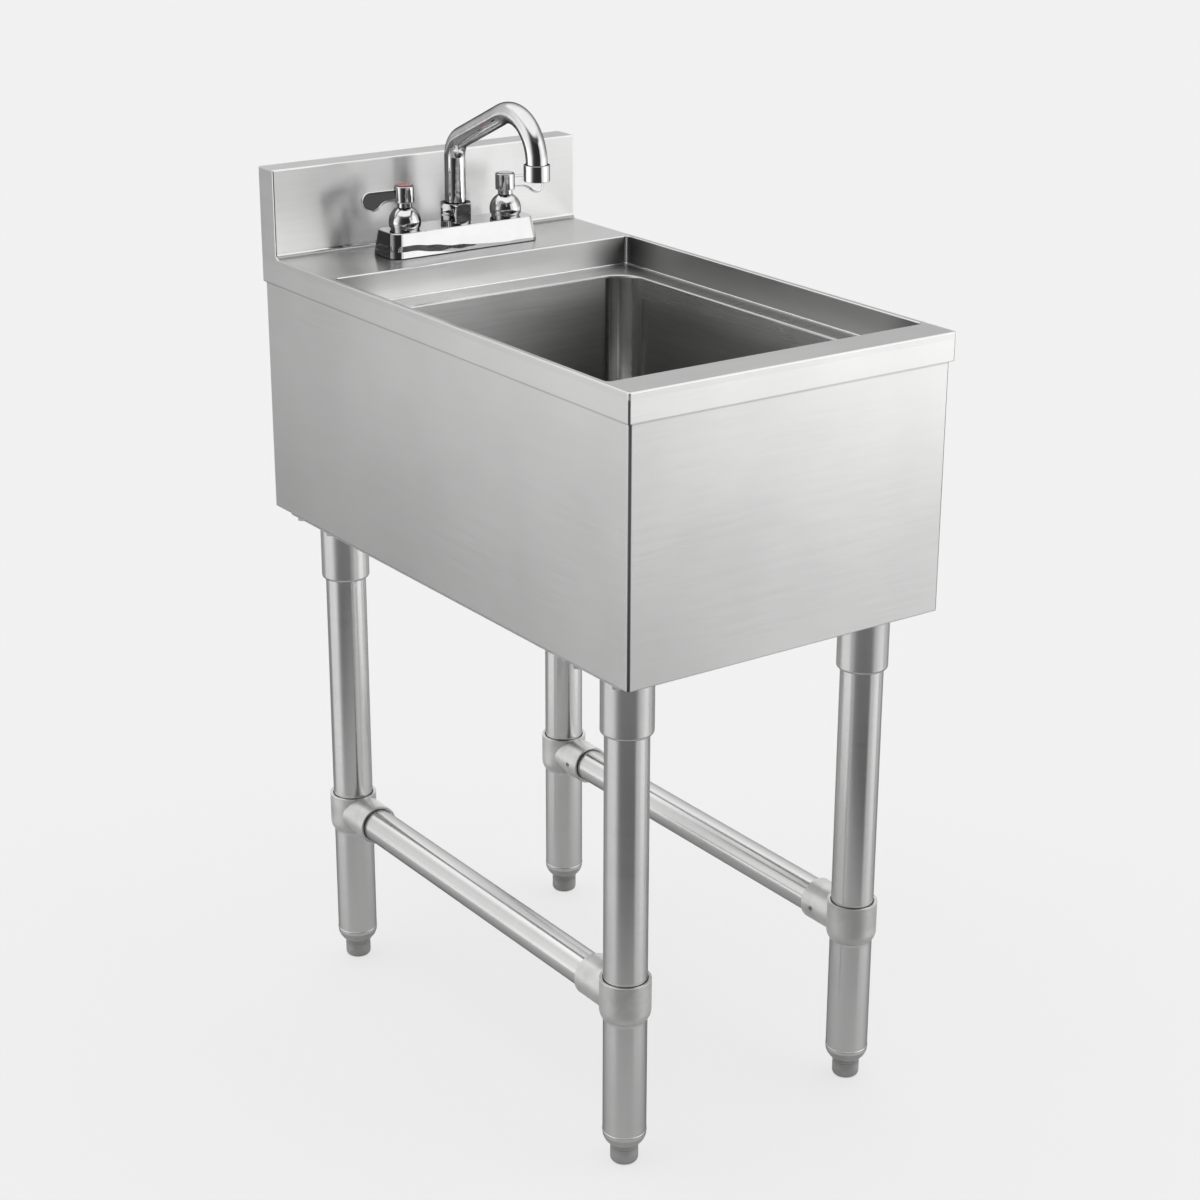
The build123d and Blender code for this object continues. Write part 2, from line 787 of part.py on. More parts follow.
save(faucet_body, "faucet_body")

with BuildPart() as faucet_gasket:
    with BuildSketch(Plane.XY.offset(rim_height)):
        with Locations((0, faucet_y)):
            RectangleRounded(
                faucet_length - 2 * gasket_inset,
                faucet_depth - 2 * gasket_inset,
                faucet_corner - gasket_inset,
            )
        with Locations(*shank_places):
            Circle(deck_hole_radius, mode=Mode.SUBTRACT)
    extrude(amount=gasket_height)
save(faucet_gasket, "faucet_gasket")

# Washers and locknuts that hold the shanks under the deck
shank_washers = rings(
    shank_places,
    deck_hole_radius + shank_washer_lap,
    shank_radius + running_gap,
    shank_nut_top,
    washer_top,
)
save(shank_washers, "shank_washers")
with BuildPart() as shank_locknuts:
    with BuildSketch(Plane.XY.offset(shank_nut_top - shank_nut_height)):
        with Locations(*shank_places):
            RegularPolygon(shank_radius + shank_nut_wall, 6, major_radius=False)
            Circle(shank_radius + running_gap, mode=Mode.SUBTRACT)
    extrude(amount=shank_nut_height)
save(shank_locknuts, "shank_locknuts")

# Valves: cartridge, bonnet, stem, lever, screw and index button on each side
cartridge_shoulder = faucet_top
cartridge_top = faucet_top + cartridge_neck_rise
stem_low = faucet_top + stem_stand
screw_seat = hub_top - index_height + index_stand - handle_screw_head_height - clear_gap
screw_low = screw_seat - handle_screw_length


def blade_outline(up):
    """Paddle outline in the open sketch: X runs out of the hub, up is the upper side's sign."""
    with Locations((blade_reach, -up * blade_tip_drop)):
        Circle(blade_tip_radius)
    Polygon(
        (0, up * blade_neck_half),
        (blade_reach, up * (blade_tip_radius - blade_tip_drop)),
        (blade_reach, -up * blade_neck_half),
        (0, -up * blade_neck_half),
        align=None,
    )


notch_drop = blade_neck_half - blade_tip_drop
notch_reach = blade_reach - math.sqrt(blade_tip_radius**2 - notch_drop**2)
for valve, side in valves.items():
    x = side * valve_x
    axis = Axis((x, faucet_y, 0), (0, 0, 1))
    place = [(x, faucet_y)]

    with BuildPart() as cartridge:
        with BuildSketch(upright(x, faucet_y)):
            with BuildLine():
                Polyline(
                    (0, cartridge_low + weld_gap),
                    (cartridge_radius, cartridge_low + weld_gap),
                    (cartridge_radius, cartridge_shoulder),
                    (cartridge_neck_radius, cartridge_shoulder),
                    (cartridge_neck_radius, cartridge_top),
                    (stem_radius + running_gap, cartridge_top),
                    (stem_radius + running_gap, stem_low - clear_gap),
                    (0, stem_low - clear_gap),
                    close=True,
                )
            make_face()
        revolve(axis=axis)
    save(cartridge, f"{valve}_cartridge")

    inner_dome = bonnet_radius - bonnet_wall
    inner_low = math.sqrt(inner_dome**2 - bonnet_centre_rise**2)
    inner_top_radius = cartridge_neck_radius + clear_gap
    bonnet_base_radius = bonnet_radius - bonnet_base_inset
    with BuildPart() as bonnet:
        with BuildSketch(upright(x, faucet_y)):
            with BuildLine():
                base_top = faucet_top + bonnet_base_height
                dome_low = math.sqrt(bonnet_radius**2 - (bonnet_centre - base_top) ** 2)
                Polyline((0, bonnet_top), (0, faucet_top), (bonnet_base_radius, faucet_top))
                Polyline(
                    (bonnet_base_radius, faucet_top),
                    (bonnet_base_radius, base_top),
                    (dome_low, base_top),
                )
                ThreePointArc(
                    (dome_low, base_top), (bonnet_radius, bonnet_centre), (bonnet_top_radius, bonnet_top)
                )
                Line((bonnet_top_radius, bonnet_top), (0, bonnet_top))
            make_face()
        revolve(axis=axis)
        with BuildSketch(upright(x, faucet_y)):
            with BuildLine():
                inner_top = bonnet_centre + math.sqrt(inner_dome**2 - inner_top_radius**2)
                Polyline((0, inner_top), (0, faucet_top), (inner_low, faucet_top))
                ThreePointArc(
                    (inner_low, faucet_top), (inner_dome, bonnet_centre), (inner_top_radius, inner_top)
                )
                Line((inner_top_radius, inner_top), (0, inner_top))
            make_face()
        revolve(axis=axis, mode=Mode.SUBTRACT)
        with BuildSketch(Plane.XY.offset(faucet_top)):
            with Locations(*place):
                Circle(stem_radius + clear_gap)
        extrude(amount=bonnet_top - faucet_top, mode=Mode.SUBTRACT)
    save(bonnet, f"{valve}_bonnet")

    with BuildPart() as stem:
        with BuildSketch(Plane.XY.offset(stem_low)):
            with Locations(*place):
                Circle(stem_radius)
        extrude(amount=stem_top - stem_low)
        with BuildSketch(Plane.XY.offset(screw_low - clear_gap)):
            with Locations(*place):
                Circle(handle_screw_radius + running_gap)
        extrude(amount=stem_top, mode=Mode.SUBTRACT)
    save(stem, f"{valve}_stem")

    tilt, droop = math.radians(blade_tilt), math.radians(blade_droop)
    turn = math.radians(blade_turns[valve])
    blade_plane = Plane(
        origin=(x, faucet_y, hub_low + blade_rise),
        x_dir=(side * math.cos(turn) * math.cos(droop), math.sin(turn) * math.cos(droop), -math.sin(droop)),
        z_dir=(side * math.sin(turn) * math.sin(tilt), -math.cos(turn) * math.sin(tilt), math.cos(tilt)),
    )
    blade_faces = Axis(blade_plane.origin, blade_plane.z_dir)
    with BuildPart() as blade:
        with BuildSketch(blade_plane) as outline:
            blade_outline(side)
            notch = outline.vertices().sort_by_distance((notch_reach, -side * blade_neck_half))[0]
            fillet(notch, blade_blend)
        extrude(amount=blade_thickness / 2, both=True)
        fillet(blade.faces().sort_by(blade_faces)[-1].edges(), blade_round)
        fillet(blade.faces().sort_by(blade_faces)[0].edges(), blade_round)
        with BuildSketch(blade_plane.offset(blade_thickness / 2 - blade_dish_depth)):
            blade_outline(side)
            offset(amount=-blade_dish_inset)
        extrude(amount=blade_thickness, mode=Mode.SUBTRACT)

    with BuildPart() as lever:
        with BuildSketch(upright(x, faucet_y)):
            with BuildLine():
                Polyline(
                    (0, hub_low),
                    (neck_radius, hub_low),
                    (neck_radius, hub_low + neck_height),
                    (hub_radius, hub_low + neck_height),
                    (hub_radius, hub_top),
                    (0, hub_top),
                    close=True,
                )
            make_face()
        revolve(axis=axis)
        round_edges = lever.edges().filter_by(GeomType.CIRCLE)
        fillet(round_edges.filter_by(lambda edge: edge.radius > neck_radius + hub_round), hub_round)
        add(blade.part)
        with BuildSketch(Plane.XY.offset(hub_top - index_height + index_stand - clear_gap)):
            with Locations(*place):
                Circle(index_radius + running_gap)
        extrude(amount=hub_top, mode=Mode.SUBTRACT)
        with BuildSketch(Plane.XY.offset(screw_seat)):
            with Locations(*place):
                Circle(handle_screw_head_radius + running_gap)
        extrude(amount=hub_top, mode=Mode.SUBTRACT)
        with BuildSketch(Plane.XY.offset(hub_low)):
            with Locations(*place):
                Circle(stem_radius + running_gap)
        extrude(amount=stem_top + weld_gap - hub_low, mode=Mode.SUBTRACT)
        with BuildSketch(Plane.XY.offset(hub_low)):
            with Locations(*place):
                Circle(handle_screw_radius + running_gap)
        extrude(amount=hub_top, mode=Mode.SUBTRACT)
    save(lever, f"{valve}_lever")

    with BuildPart() as handle_screw:
        with BuildSketch(Plane.XY.offset(screw_low)):
            with Locations(*place):
                Circle(handle_screw_radius)
        extrude(amount=handle_screw_length)
        with BuildSketch(Plane.XY.offset(screw_seat)):
            with Locations(*place):
                Circle(handle_screw_head_radius)
        extrude(amount=handle_screw_head_height)
        with BuildSketch(Plane.XY.offset(screw_seat + handle_screw_head_height / 2)):
            with Locations(*place):
                Rectangle(2 * handle_screw_head_radius, handle_screw_slot)
                Rectangle(handle_screw_slot, 2 * handle_screw_head_radius)
        extrude(amount=handle_screw_head_height, mode=Mode.SUBTRACT)
    save(handle_screw, f"{valve}_handle_screw")

    with BuildPart() as index:
        with BuildSketch(Plane.XY.offset(hub_top - index_height + index_stand)):
            with Locations(*place):
                Circle(index_radius)
        extrude(amount=index_height)
        fillet(index.edges().sort_by(Axis.Z)[-1], index_stand / 2)
    save(index, f"{valve}_index")

# Spout: a bent tube with a turned tail and flange, which swivels in the boss
tube_low = boss_top + weld_gap
corner_low = faucet_low + spout_corner_height
slope = math.radians(spout_slope)
corner_high = corner_low + spout_reach * math.tan(slope)
tip_y = faucet_y - spout_reach
tip_low = corner_high - spout_top_bend * math.tan(math.radians(90 + spout_slope) / 2) - aerator_lap
with BuildPart() as spout:
    with BuildLine():
        FilletPolyline(
            (0, faucet_y, tube_low),
            (0, faucet_y, corner_low),
            (0, tip_y, corner_high),
            (0, tip_y, tip_low),
            radius=[spout_low_bend, spout_top_bend],
        )
    with BuildSketch(Plane.XY.offset(tube_low)):
        with Locations((0, faucet_y)):
            Circle(spout_radius)
            Circle(spout_bore, mode=Mode.SUBTRACT)
    sweep()
    with BuildSketch(Plane.XY.offset(spout_low)):
        with Locations((0, faucet_y)):
            Circle(spout_tail_radius)
            Circle(spout_bore, mode=Mode.SUBTRACT)
    extrude(amount=tube_low - spout_low)
    with BuildSketch(Plane.XY.offset(tube_low)):
        with Locations((0, faucet_y)):
            Circle(spout_flange_radius)
            Circle(spout_bore, mode=Mode.SUBTRACT)
    extrude(amount=spout_flange_height)
save(spout, "spout")

# Two O rings seal the tail of the spout in the boss
o_ring_middle = (spout_tail_radius + spout_boss_bore) / 2
o_ring_section = (spout_boss_bore - spout_tail_radius) / 2 - o_ring_gap
with BuildPart() as spout_o_rings:
    with BuildSketch(upright(0, faucet_y)):
        with Locations(
            (o_ring_middle, spout_low + spout_tail_length / 3),
            (o_ring_middle, spout_low + 2 * spout_tail_length / 3),
        ):
            Circle(o_ring_section)
    revolve(axis=Axis((0, faucet_y, 0), (0, 0, 1)))
save(spout_o_rings, "spout_o_rings")

# Spout nut: a hexagon with a round top, over the boss and the flange of the spout
nut_low = faucet_top
nut_top = nut_low + nut_height
nut_inner_top = tube_low + spout_flange_height + clear_gap
with BuildPart() as spout_nut:
    with BuildSketch(Plane.XY.offset(nut_low)):
        with Locations((0, faucet_y)):
            Circle(nut_flats / 2)
    extrude(amount=nut_base_height)
    with BuildSketch(Plane.XY.offset(nut_low + nut_base_height)):
        with Locations((0, faucet_y)):
            RegularPolygon(nut_flats / 2, 6, major_radius=False)
    extrude(amount=nut_height - nut_base_height)
    # The turned envelope takes the corners off and domes the top
    corner_radius = nut_flats / 2 / math.cos(math.pi / 6)
    with BuildSketch(upright(0, faucet_y)):
        with BuildLine():
            Polyline((0, nut_low), (corner_radius, nut_low), (corner_radius, nut_top - nut_shoulder))
            ThreePointArc(
                (corner_radius, nut_top - nut_shoulder),
                (
                    corner_radius - nut_dome_share * nut_shoulder,
                    nut_top - nut_dome_share * nut_shoulder,
                ),
                (corner_radius - nut_shoulder, nut_top),
            )
            Polyline((corner_radius - nut_shoulder, nut_top), (0, nut_top), (0, nut_low))
        make_face()
    revolve(axis=Axis((0, faucet_y, 0), (0, 0, 1)), mode=Mode.INTERSECT)
    with BuildSketch(Plane.XY.offset(nut_low)):
        with Locations((0, faucet_y)):
            Circle(spout_boss_radius + running_gap)
    extrude(amount=nut_inner_top - nut_low, mode=Mode.SUBTRACT)
    with BuildSketch(Plane.XY.offset(nut_inner_top)):
        with Locations((0, faucet_y)):
            Circle(spout_radius + clear_gap)
    extrude(amount=nut_height, mode=Mode.SUBTRACT)
save(spout_nut, "spout_nut")

# Aerator: a housing on the tip of the spout and the grid in it
aerator_top = tip_low + aerator_lap
aerator_low = aerator_top - aerator_height
aerator_axis = Axis((0, tip_y, 0), (0, 0, 1))
with BuildPart() as aerator_housing:
    with BuildSketch(upright(0, tip_y)):
        with BuildLine():
            Polyline(
                (spout_radius + weld_gap, tip_low - weld_gap),
                (spout_radius + weld_gap, aerator_top),
                (aerator_radius, aerator_top),
                (aerator_radius, aerator_low),
                (aerator_radius - aerator_wall - aerator_lip, aerator_low),
                (aerator_radius - aerator_wall - aerator_lip, aerator_low + aerator_lip),
                (aerator_radius - aerator_wall, aerator_low + aerator_lip),
                (aerator_radius - aerator_wall, tip_low - aerator_wall),
                (spout_bore, tip_low - aerator_wall),
                (spout_bore, tip_low - weld_gap),
                close=True,
            )
        make_face()
    revolve(axis=aerator_axis)
    outer_rims = aerator_housing.edges().filter_by(GeomType.CIRCLE)
    fillet(outer_rims.filter_by(lambda edge: edge.radius > spout_radius + aerator_lap), aerator_lap / 2)
save(aerator_housing, "aerator_housing")

insert_low = aerator_low + aerator_lip
aerator_insert_radius = aerator_radius - aerator_wall - weld_gap
with BuildPart() as aerator_insert:
    with BuildSketch(Plane.XY.offset(insert_low)):
        with Locations((0, tip_y)):
            Circle(aerator_insert_radius)
            for share, hole_count in aerator_rings.items():
                with PolarLocations(share * aerator_insert_radius, hole_count):
                    Circle(aerator_hole_radius, mode=Mode.SUBTRACT)
    extrude(amount=tip_low - aerator_wall - insert_low - weld_gap)
save(aerator_insert, "aerator_insert")

# Drain body: a flanged outlet in the recess of the bowl
drain_place = [(0, bowl_middle)]
drain_axis = Axis((0, bowl_middle, 0), (0, 0, 1))
flange_top = recess_floor + drain_flange_height
with BuildPart() as drain_body:
    with BuildSketch(upright(0, bowl_middle)):
        with BuildLine():
            Polyline(
                (drain_body_bore, drain_end),
                (drain_body_radius, drain_end),
                (drain_body_radius, recess_floor),
                (drain_flange_radius, recess_floor),
                (drain_flange_radius, recess_floor + drain_flange_height / 2),
                (strainer_radius + clear_gap, flange_top),
                (drain_body_bore, flange_top),
                close=True,
            )
        make_face()
    revolve(axis=drain_axis)
save(drain_body, "drain_body")

gasket_top = recess_floor - sheet
gasket_low = gasket_top - drain_gasket_height
drain_gasket = rings(
    drain_place,
    drain_body_radius + drain_gasket_width,
    drain_body_radius + slip_gap,
    gasket_low,
    gasket_top,
)
save(drain_gasket, "drain_gasket")

drain_nut_radius = drain_body_radius + drain_nut_wall
with BuildPart() as drain_locknut:
    with BuildSketch(Plane.XY.offset(gasket_low - drain_nut_height)):
        with Locations(*drain_place):
            Circle(drain_nut_radius)
            with PolarLocations(drain_nut_radius, drain_nut_lugs):
                Rectangle(drain_nut_lug, 2 * drain_nut_lug)
            Circle(drain_body_radius + running_gap, mode=Mode.SUBTRACT)
    extrude(amount=drain_nut_height)
save(drain_locknut, "drain_locknut")

# Tailpiece, held up against the drain body by a slip nut with a washer between
washer_low = drain_end - slip_washer_height
slip_washer = rings(
    drain_place, tailpiece_flange_radius, tailpiece_radius - tailpiece_wall, washer_low, drain_end
)
save(slip_washer, "slip_washer")

tail_flange_low = washer_low - tailpiece_flange_height
slip_nut_low = tail_flange_low - slip_nut_lip
tail_free_top = slip_nut_low - clear_gap
with BuildPart() as tailpiece:
    with BuildSketch(upright(0, bowl_middle)):
        with BuildLine():
            Polyline(
                (tailpiece_radius - tailpiece_wall, washer_low),
                (tailpiece_flange_radius, washer_low),
                (tailpiece_flange_radius, tail_flange_low),
                (tailpiece_radius - tailpiece_relief, tail_flange_low),
                (tailpiece_radius - tailpiece_relief, tail_free_top),
                (tailpiece_radius, tail_free_top),
                (tailpiece_radius, tail_free_top - tailpiece_length),
                (tailpiece_radius - tailpiece_wall, tail_free_top - tailpiece_length),
                close=True,
            )
        make_face()
    revolve(axis=drain_axis)
save(tailpiece, "tailpiece")

with BuildPart() as slip_nut:
    with BuildSketch(Plane.XY.offset(slip_nut_low)):
        with Locations(*drain_place):
            RegularPolygon(drain_body_radius + slip_nut_wall, 6, major_radius=False)
            Circle(tailpiece_radius + slip_gap, mode=Mode.SUBTRACT)
    extrude(amount=slip_nut_lip)
    with BuildSketch(Plane.XY.offset(tail_flange_low)):
        with Locations(*drain_place):
            RegularPolygon(drain_body_radius + slip_nut_wall, 6, major_radius=False)
            Circle(drain_body_radius + running_gap, mode=Mode.SUBTRACT)
    extrude(amount=slip_nut_height - slip_nut_lip)
save(slip_nut, "slip_nut")

# Strainer: a lift-out perforated cup with a knob, on the drain flange
strainer_low = flange_top + weld_gap
cup_bore = strainer_cup_radius - strainer_sheet
cup_low = strainer_low - strainer_cup_depth
with BuildPart() as drain_strainer:
    with BuildSketch(upright(0, bowl_middle)):
        with BuildLine():
            Polyline(
                (0, cup_low),
                (strainer_cup_radius, cup_low),
                (strainer_cup_radius, strainer_low),
                (strainer_radius, strainer_low),
                (strainer_radius, strainer_low + strainer_sheet),
                (cup_bore, strainer_low + strainer_sheet),
                (cup_bore, cup_low + strainer_sheet),
                (0, cup_low + strainer_sheet),
                close=True,
            )
        make_face()
    revolve(axis=drain_axis)
    with BuildSketch(Plane.XY.offset(cup_low)):
        with Locations(*drain_place):
            for share, hole_count in strainer_rings.items():
                with PolarLocations(share * strainer_cup_radius, hole_count):
                    Circle(strainer_hole_radius)
    extrude(amount=strainer_sheet, mode=Mode.SUBTRACT)
    with BuildSketch(Plane.XY.offset(cup_low)):
        with Locations(*drain_place):
            Circle(strainer_knob_radius)
    extrude(amount=strainer_cup_depth + strainer_knob_rise)
    fillet(drain_strainer.edges().sort_by(Axis.Z)[-1], strainer_knob_radius / 3)
save(drain_strainer, "drain_strainer")
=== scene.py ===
import bmesh
import bpy
import json
import math
from mathutils import Matrix, Vector


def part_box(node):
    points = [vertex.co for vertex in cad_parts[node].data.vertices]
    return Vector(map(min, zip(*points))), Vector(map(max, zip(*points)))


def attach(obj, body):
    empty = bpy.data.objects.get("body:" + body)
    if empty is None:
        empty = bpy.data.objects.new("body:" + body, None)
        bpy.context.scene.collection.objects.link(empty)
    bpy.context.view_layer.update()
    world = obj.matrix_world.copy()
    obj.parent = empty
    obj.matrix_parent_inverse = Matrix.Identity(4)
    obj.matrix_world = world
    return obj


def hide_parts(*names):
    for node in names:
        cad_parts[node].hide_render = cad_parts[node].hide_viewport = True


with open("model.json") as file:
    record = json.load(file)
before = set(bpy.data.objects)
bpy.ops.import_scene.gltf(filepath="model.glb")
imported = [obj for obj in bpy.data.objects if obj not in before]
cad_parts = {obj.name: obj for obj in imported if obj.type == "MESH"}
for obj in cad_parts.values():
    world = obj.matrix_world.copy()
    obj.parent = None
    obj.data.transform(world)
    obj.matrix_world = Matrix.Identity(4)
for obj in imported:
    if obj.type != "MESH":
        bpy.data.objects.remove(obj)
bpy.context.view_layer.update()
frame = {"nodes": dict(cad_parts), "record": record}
node_object = frame["nodes"]

# Camera at the photograph's angle: a long lens, looking down from the front left
camera_place = Vector((-1.1382, -1.6272, 1.1213))
camera_yaw = math.radians(35.26)
camera_pitch = math.radians(20.29)
camera_roll = math.radians(0.17)
camera_lens = 75.75
camera_sensor = 36.0
camera_range = 100.0
# Level directions from the sink: towards the camera, and to the camera's right
camera_side = (-math.sin(camera_yaw), -math.cos(camera_yaw), 0.0)
camera_right = (math.cos(camera_yaw), -math.sin(camera_yaw), 0.0)

# The studio as metal sees it, in rings of light round the sink: one below the horizon, one above it
# and one higher up. Degrees run from the camera's side, positive to its right, each with how light
# it is there.
low_ring = [
    (-180, 1.00), (-150, 0.78), (-128, 0.38), (-117, 0.38), (-108, 1.02), (-100, 1.20), (-85, 1.20),
    (-67, 1.25), (-55, 1.00), (-45, 0.40), (-34, 0.10), (-20, 0.04), (0, 0.03), (24, 0.028),
    (38, 0.045), (47, 0.60), (56, 1.05), (58, 0.30), (60, 1.06), (69, 1.08), (77, 1.42), (94, 1.48),
    (103, 1.10), (105, 0.30), (108, 1.00), (140, 0.80), (180, 1.00),
]
high_ring = [
    (-180, 0.90), (-150, 0.86), (-128, 0.72), (-112, 0.70), (-97, 0.88), (-85, 1.02), (-67, 1.12),
    (-55, 0.95), (-44, 0.55), (-33, 0.14), (-20, 0.05), (0, 0.03), (24, 0.028), (40, 0.035),
    (46, 0.75), (55, 0.95), (57, 0.45), (59, 1.10), (64, 1.22), (94, 1.22), (103, 1.00),
    (105, 0.45), (108, 0.85), (122, 0.44), (140, 0.46), (152, 0.78), (180, 0.90),
]
shoulder_ring = [
    (-180, 0.80), (-165, 1.05), (-150, 1.25), (-130, 1.25), (-115, 1.00), (-90, 0.85), (-60, 0.75),
    (-40, 0.32), (-28, 0.11), (30, 0.08), (52, 0.10), (60, 0.50), (80, 0.90), (110, 1.05),
    (135, 1.05), (150, 0.85), (180, 0.80),
]
overhead_light = 1.13
backdrop_white = 0.91
# Where each ring fades into the next one up, as the sine of the angle above the horizon
horizon_fade = (-0.10, 0.06)
shoulder_fade = (0.50, 0.62)
overhead_fade = (0.66, 0.80)
# The same for how the low ring darkens downwards: two places, then its share of light at each
downward_fade = (-0.62, -0.14, 0.15, 1.15)

floor_half = 30.0
floor_white = 0.89
floor_seen = 0.25
floor_in_metal = 0.62
floor_reach = 4.0
# How much of the studio metal sees through the floor, by metres from the sink's middle
floor_clear = [
    (0.10, 0.0), (0.50, 0.25), (0.75, 0.80), (0.95, 0.88), (1.15, 0.80), (1.50, 0.5), (1.90, 0.32),
    (2.45, 0.32), (3.05, 1.0),
]

# Places on the sink, in metres: the heights that the rails lie between, the well's half width and
# half length, how far apart the legs stand, and where the shanks go through the deck
rail_band = (0.128, 0.167)
rim_height = 0.652
ledge_top = 0.627
well_half = 0.1471
well_middle = -0.0412
well_reach = 0.1925
leg_across = 0.2314
leg_apart = 0.4224
leg_middle = -0.0055
tee_branch_reach = 0.0882
shank_side = 0.0508
shank_line = 0.199

# Parts of a normal between which a wall comes to face the front or the rear of the sink
faces_front = (-0.70, -0.95)
faces_rear = (0.70, 0.95)
# The middle of a noise's values, which its ramps read, and a narrower one for clouds
noise_span = (0.3, 0.7)
cloud_span = (0.35, 0.65)
# How many ever finer layers a noise has, where it isn't three
one_layer, two_layers = 1.0, 2.0


def grey(level):
    return (level, level, level, 1.0)


def toned(colour, share):
    """A colour made lighter or darker, up to white."""
    return tuple(min(1.0, part * share) for part in colour) + (1.0,)


class Tree:
    """A short way to write shader and geometry nodes: each call adds one and fills its inputs."""

    def __init__(self, tree):
        self.tree = tree
        tree.nodes.clear()

    def add(self, kind, settings=None, **inputs):
        node = self.tree.nodes.new(kind)
        for key, value in (settings or {}).items():
            setattr(node, key, value)
        for key, value in inputs.items():
            self.put(node, key.replace("_", " "), value)
        return node

    def put(self, node, key, value):
        """Fills one input, which the key names or numbers, with a value or a link."""
        socket = node.inputs[int(key)] if key.isdigit() else node.inputs[key]
        if isinstance(value, bpy.types.NodeSocket):
            self.tree.links.new(value, socket)
        else:
            socket.default_value = value

    def surface(self, shader, output="ShaderNodeOutputMaterial"):
        self.add(output, Surface=shader.outputs[0])

    def place(self):
        """Where a point lies on the piece, in metres."""
        return self.add("ShaderNodeTexCoord").outputs["Object"]

    def normal(self):
        return self.add("ShaderNodeNewGeometry").outputs["Normal"]

    def axes(self, vector):
        return self.add("ShaderNodeSeparateXYZ", Vector=vector).outputs

    def point(self, x=0.0, y=0.0, z=0.0):
        return self.add("ShaderNodeCombineXYZ", X=x, Y=y, Z=z).outputs[0]

    def math(self, operation, a, b=0.0, c=0.0):
        settings = {"operation": operation}
        return self.add("ShaderNodeMath", settings, **{"0": a, "1": b, "2": c}).outputs[0]

    def size(self, value):
        return self.math("ABSOLUTE", value)

    def times(self, product, *others):
        for value in others:
            product = self.math("MULTIPLY", product, value)
        return product

    def vector(self, operation, a, b=(0.0, 0.0, 0.0)):
        node = self.add("ShaderNodeVectorMath", {"operation": operation}, **{"0": a, "1": b})
        return node.outputs["Value" if operation in ("DOT_PRODUCT", "LENGTH") else "Vector"]

    def scaled(self, vector, factor):
        node = self.add("ShaderNodeVectorMath", {"operation": "SCALE"}, Scale=factor)
        self.put(node, "0", vector)
        return node.outputs["Vector"]

    def ramp(self, value, low, high, to_low=0.0, to_high=1.0, kind="SMOOTHSTEP"):
        """Runs from one level, where the value is low, to another, where it is high."""
        node = self.add(
            "ShaderNodeMapRange", {"interpolation_type": kind},
            Value=value, From_Min=low, From_Max=high, To_Min=to_low, To_Max=to_high,
        )
        return node.outputs["Result"]

    def mix(self, factor, a, b):
        """Mixes two colours."""
        node = self.add("ShaderNodeMix", {"data_type": "RGBA"}, **{"0": factor, "6": a, "7": b})
        return node.outputs[2]

    def lerp(self, factor, a, b):
        """Mixes two values."""
        node = self.add("ShaderNodeMix", {"data_type": "FLOAT"}, **{"0": factor, "2": a, "3": b})
        return node.outputs[0]

    def within(self, zone, level):
        """The level in a zone, and 1 outside it, so that it changes nothing there."""
        return self.lerp(zone, 1.0, level)

    def stops(self, value, marks):
        """Reads a grey level off a row of marks, each a place from 0 to 1 and a level."""
        node = self.add("ShaderNodeValToRGB", Fac=value)
        elements = node.color_ramp.elements
        while len(elements) < len(marks):
            elements.new(0.5)
        for element, (place, level) in zip(elements, marks):
            element.position = place
            element.color = grey(level)
        return node.outputs["Color"]

    def noise(self, vector, scale, layers=3.0, roughness=0.5):
        node = self.add(
            "ShaderNodeTexNoise", Vector=vector, Scale=scale, Detail=layers, Roughness=roughness
        )
        return node.outputs[0]

    def stretched(self, vector, scale):
        return self.add("ShaderNodeMapping", Vector=vector, Scale=scale).outputs[0]


def new_material(name):
    """An empty material and the tree that its nodes are written in."""
    material = bpy.data.materials.new(name)
    material.use_nodes = True
    return material, Tree(material.node_tree)


def linked(thing):
    bpy.context.scene.collection.objects.link(thing)
    return thing


def add_camera():
    ahead = Vector((
        math.sin(camera_yaw) * math.cos(camera_pitch),
        math.cos(camera_yaw) * math.cos(camera_pitch),
        -math.sin(camera_pitch),
    ))
    level = Vector(camera_right)
    above = level.cross(ahead)
    right = level * math.cos(camera_roll) + above * math.sin(camera_roll)
    up = above * math.cos(camera_roll) - level * math.sin(camera_roll)
    data = bpy.data.cameras.new("camera")
    data.lens = camera_lens
    data.sensor_width = camera_sensor
    data.clip_end = camera_range
    camera = linked(bpy.data.objects.new("camera", data))
    turn = Matrix((right, up, -ahead)).transposed()
    camera.matrix_world = Matrix.Translation(camera_place) @ turn.to_4x4()
    bpy.context.scene.camera = camera


def studio_ring(tree, direction, ring):
    """How light the studio is in a direction, as read round the sink."""
    right = tree.vector("DOT_PRODUCT", direction, camera_right)
    front = tree.vector("DOT_PRODUCT", direction, camera_side)
    turn = tree.math("MULTIPLY_ADD", tree.math("ARCTAN2", right, front), 0.5 / math.pi, 0.5)
    return tree.stops(turn, [(degrees / 360.0 + 0.5, light) for degrees, light in ring])


def add_world():
    world = bpy.data.worlds.new("studio")
    bpy.context.scene.world = world
    world.use_nodes = True
    tree = Tree(world.node_tree)
    direction = tree.add("ShaderNodeTexCoord").outputs["Generated"]
    height = tree.axes(direction)["Z"]
    low, high, shoulder = [
        studio_ring(tree, direction, ring) for ring in (low_ring, high_ring, shoulder_ring)
    ]
    low = tree.scaled(low, tree.ramp(height, *downward_fade))
    around = tree.mix(tree.ramp(height, *horizon_fade), low, high)
    around = tree.mix(tree.ramp(height, *shoulder_fade), around, shoulder)
    light = tree.mix(tree.ramp(height, *overhead_fade), around, grey(overhead_light))
    seen = tree.add("ShaderNodeLightPath").outputs["Is Camera Ray"]
    tone = tree.mix(seen, light, grey(backdrop_white))
    tree.surface(tree.add("ShaderNodeBackground", Color=tone), "ShaderNodeOutputWorld")


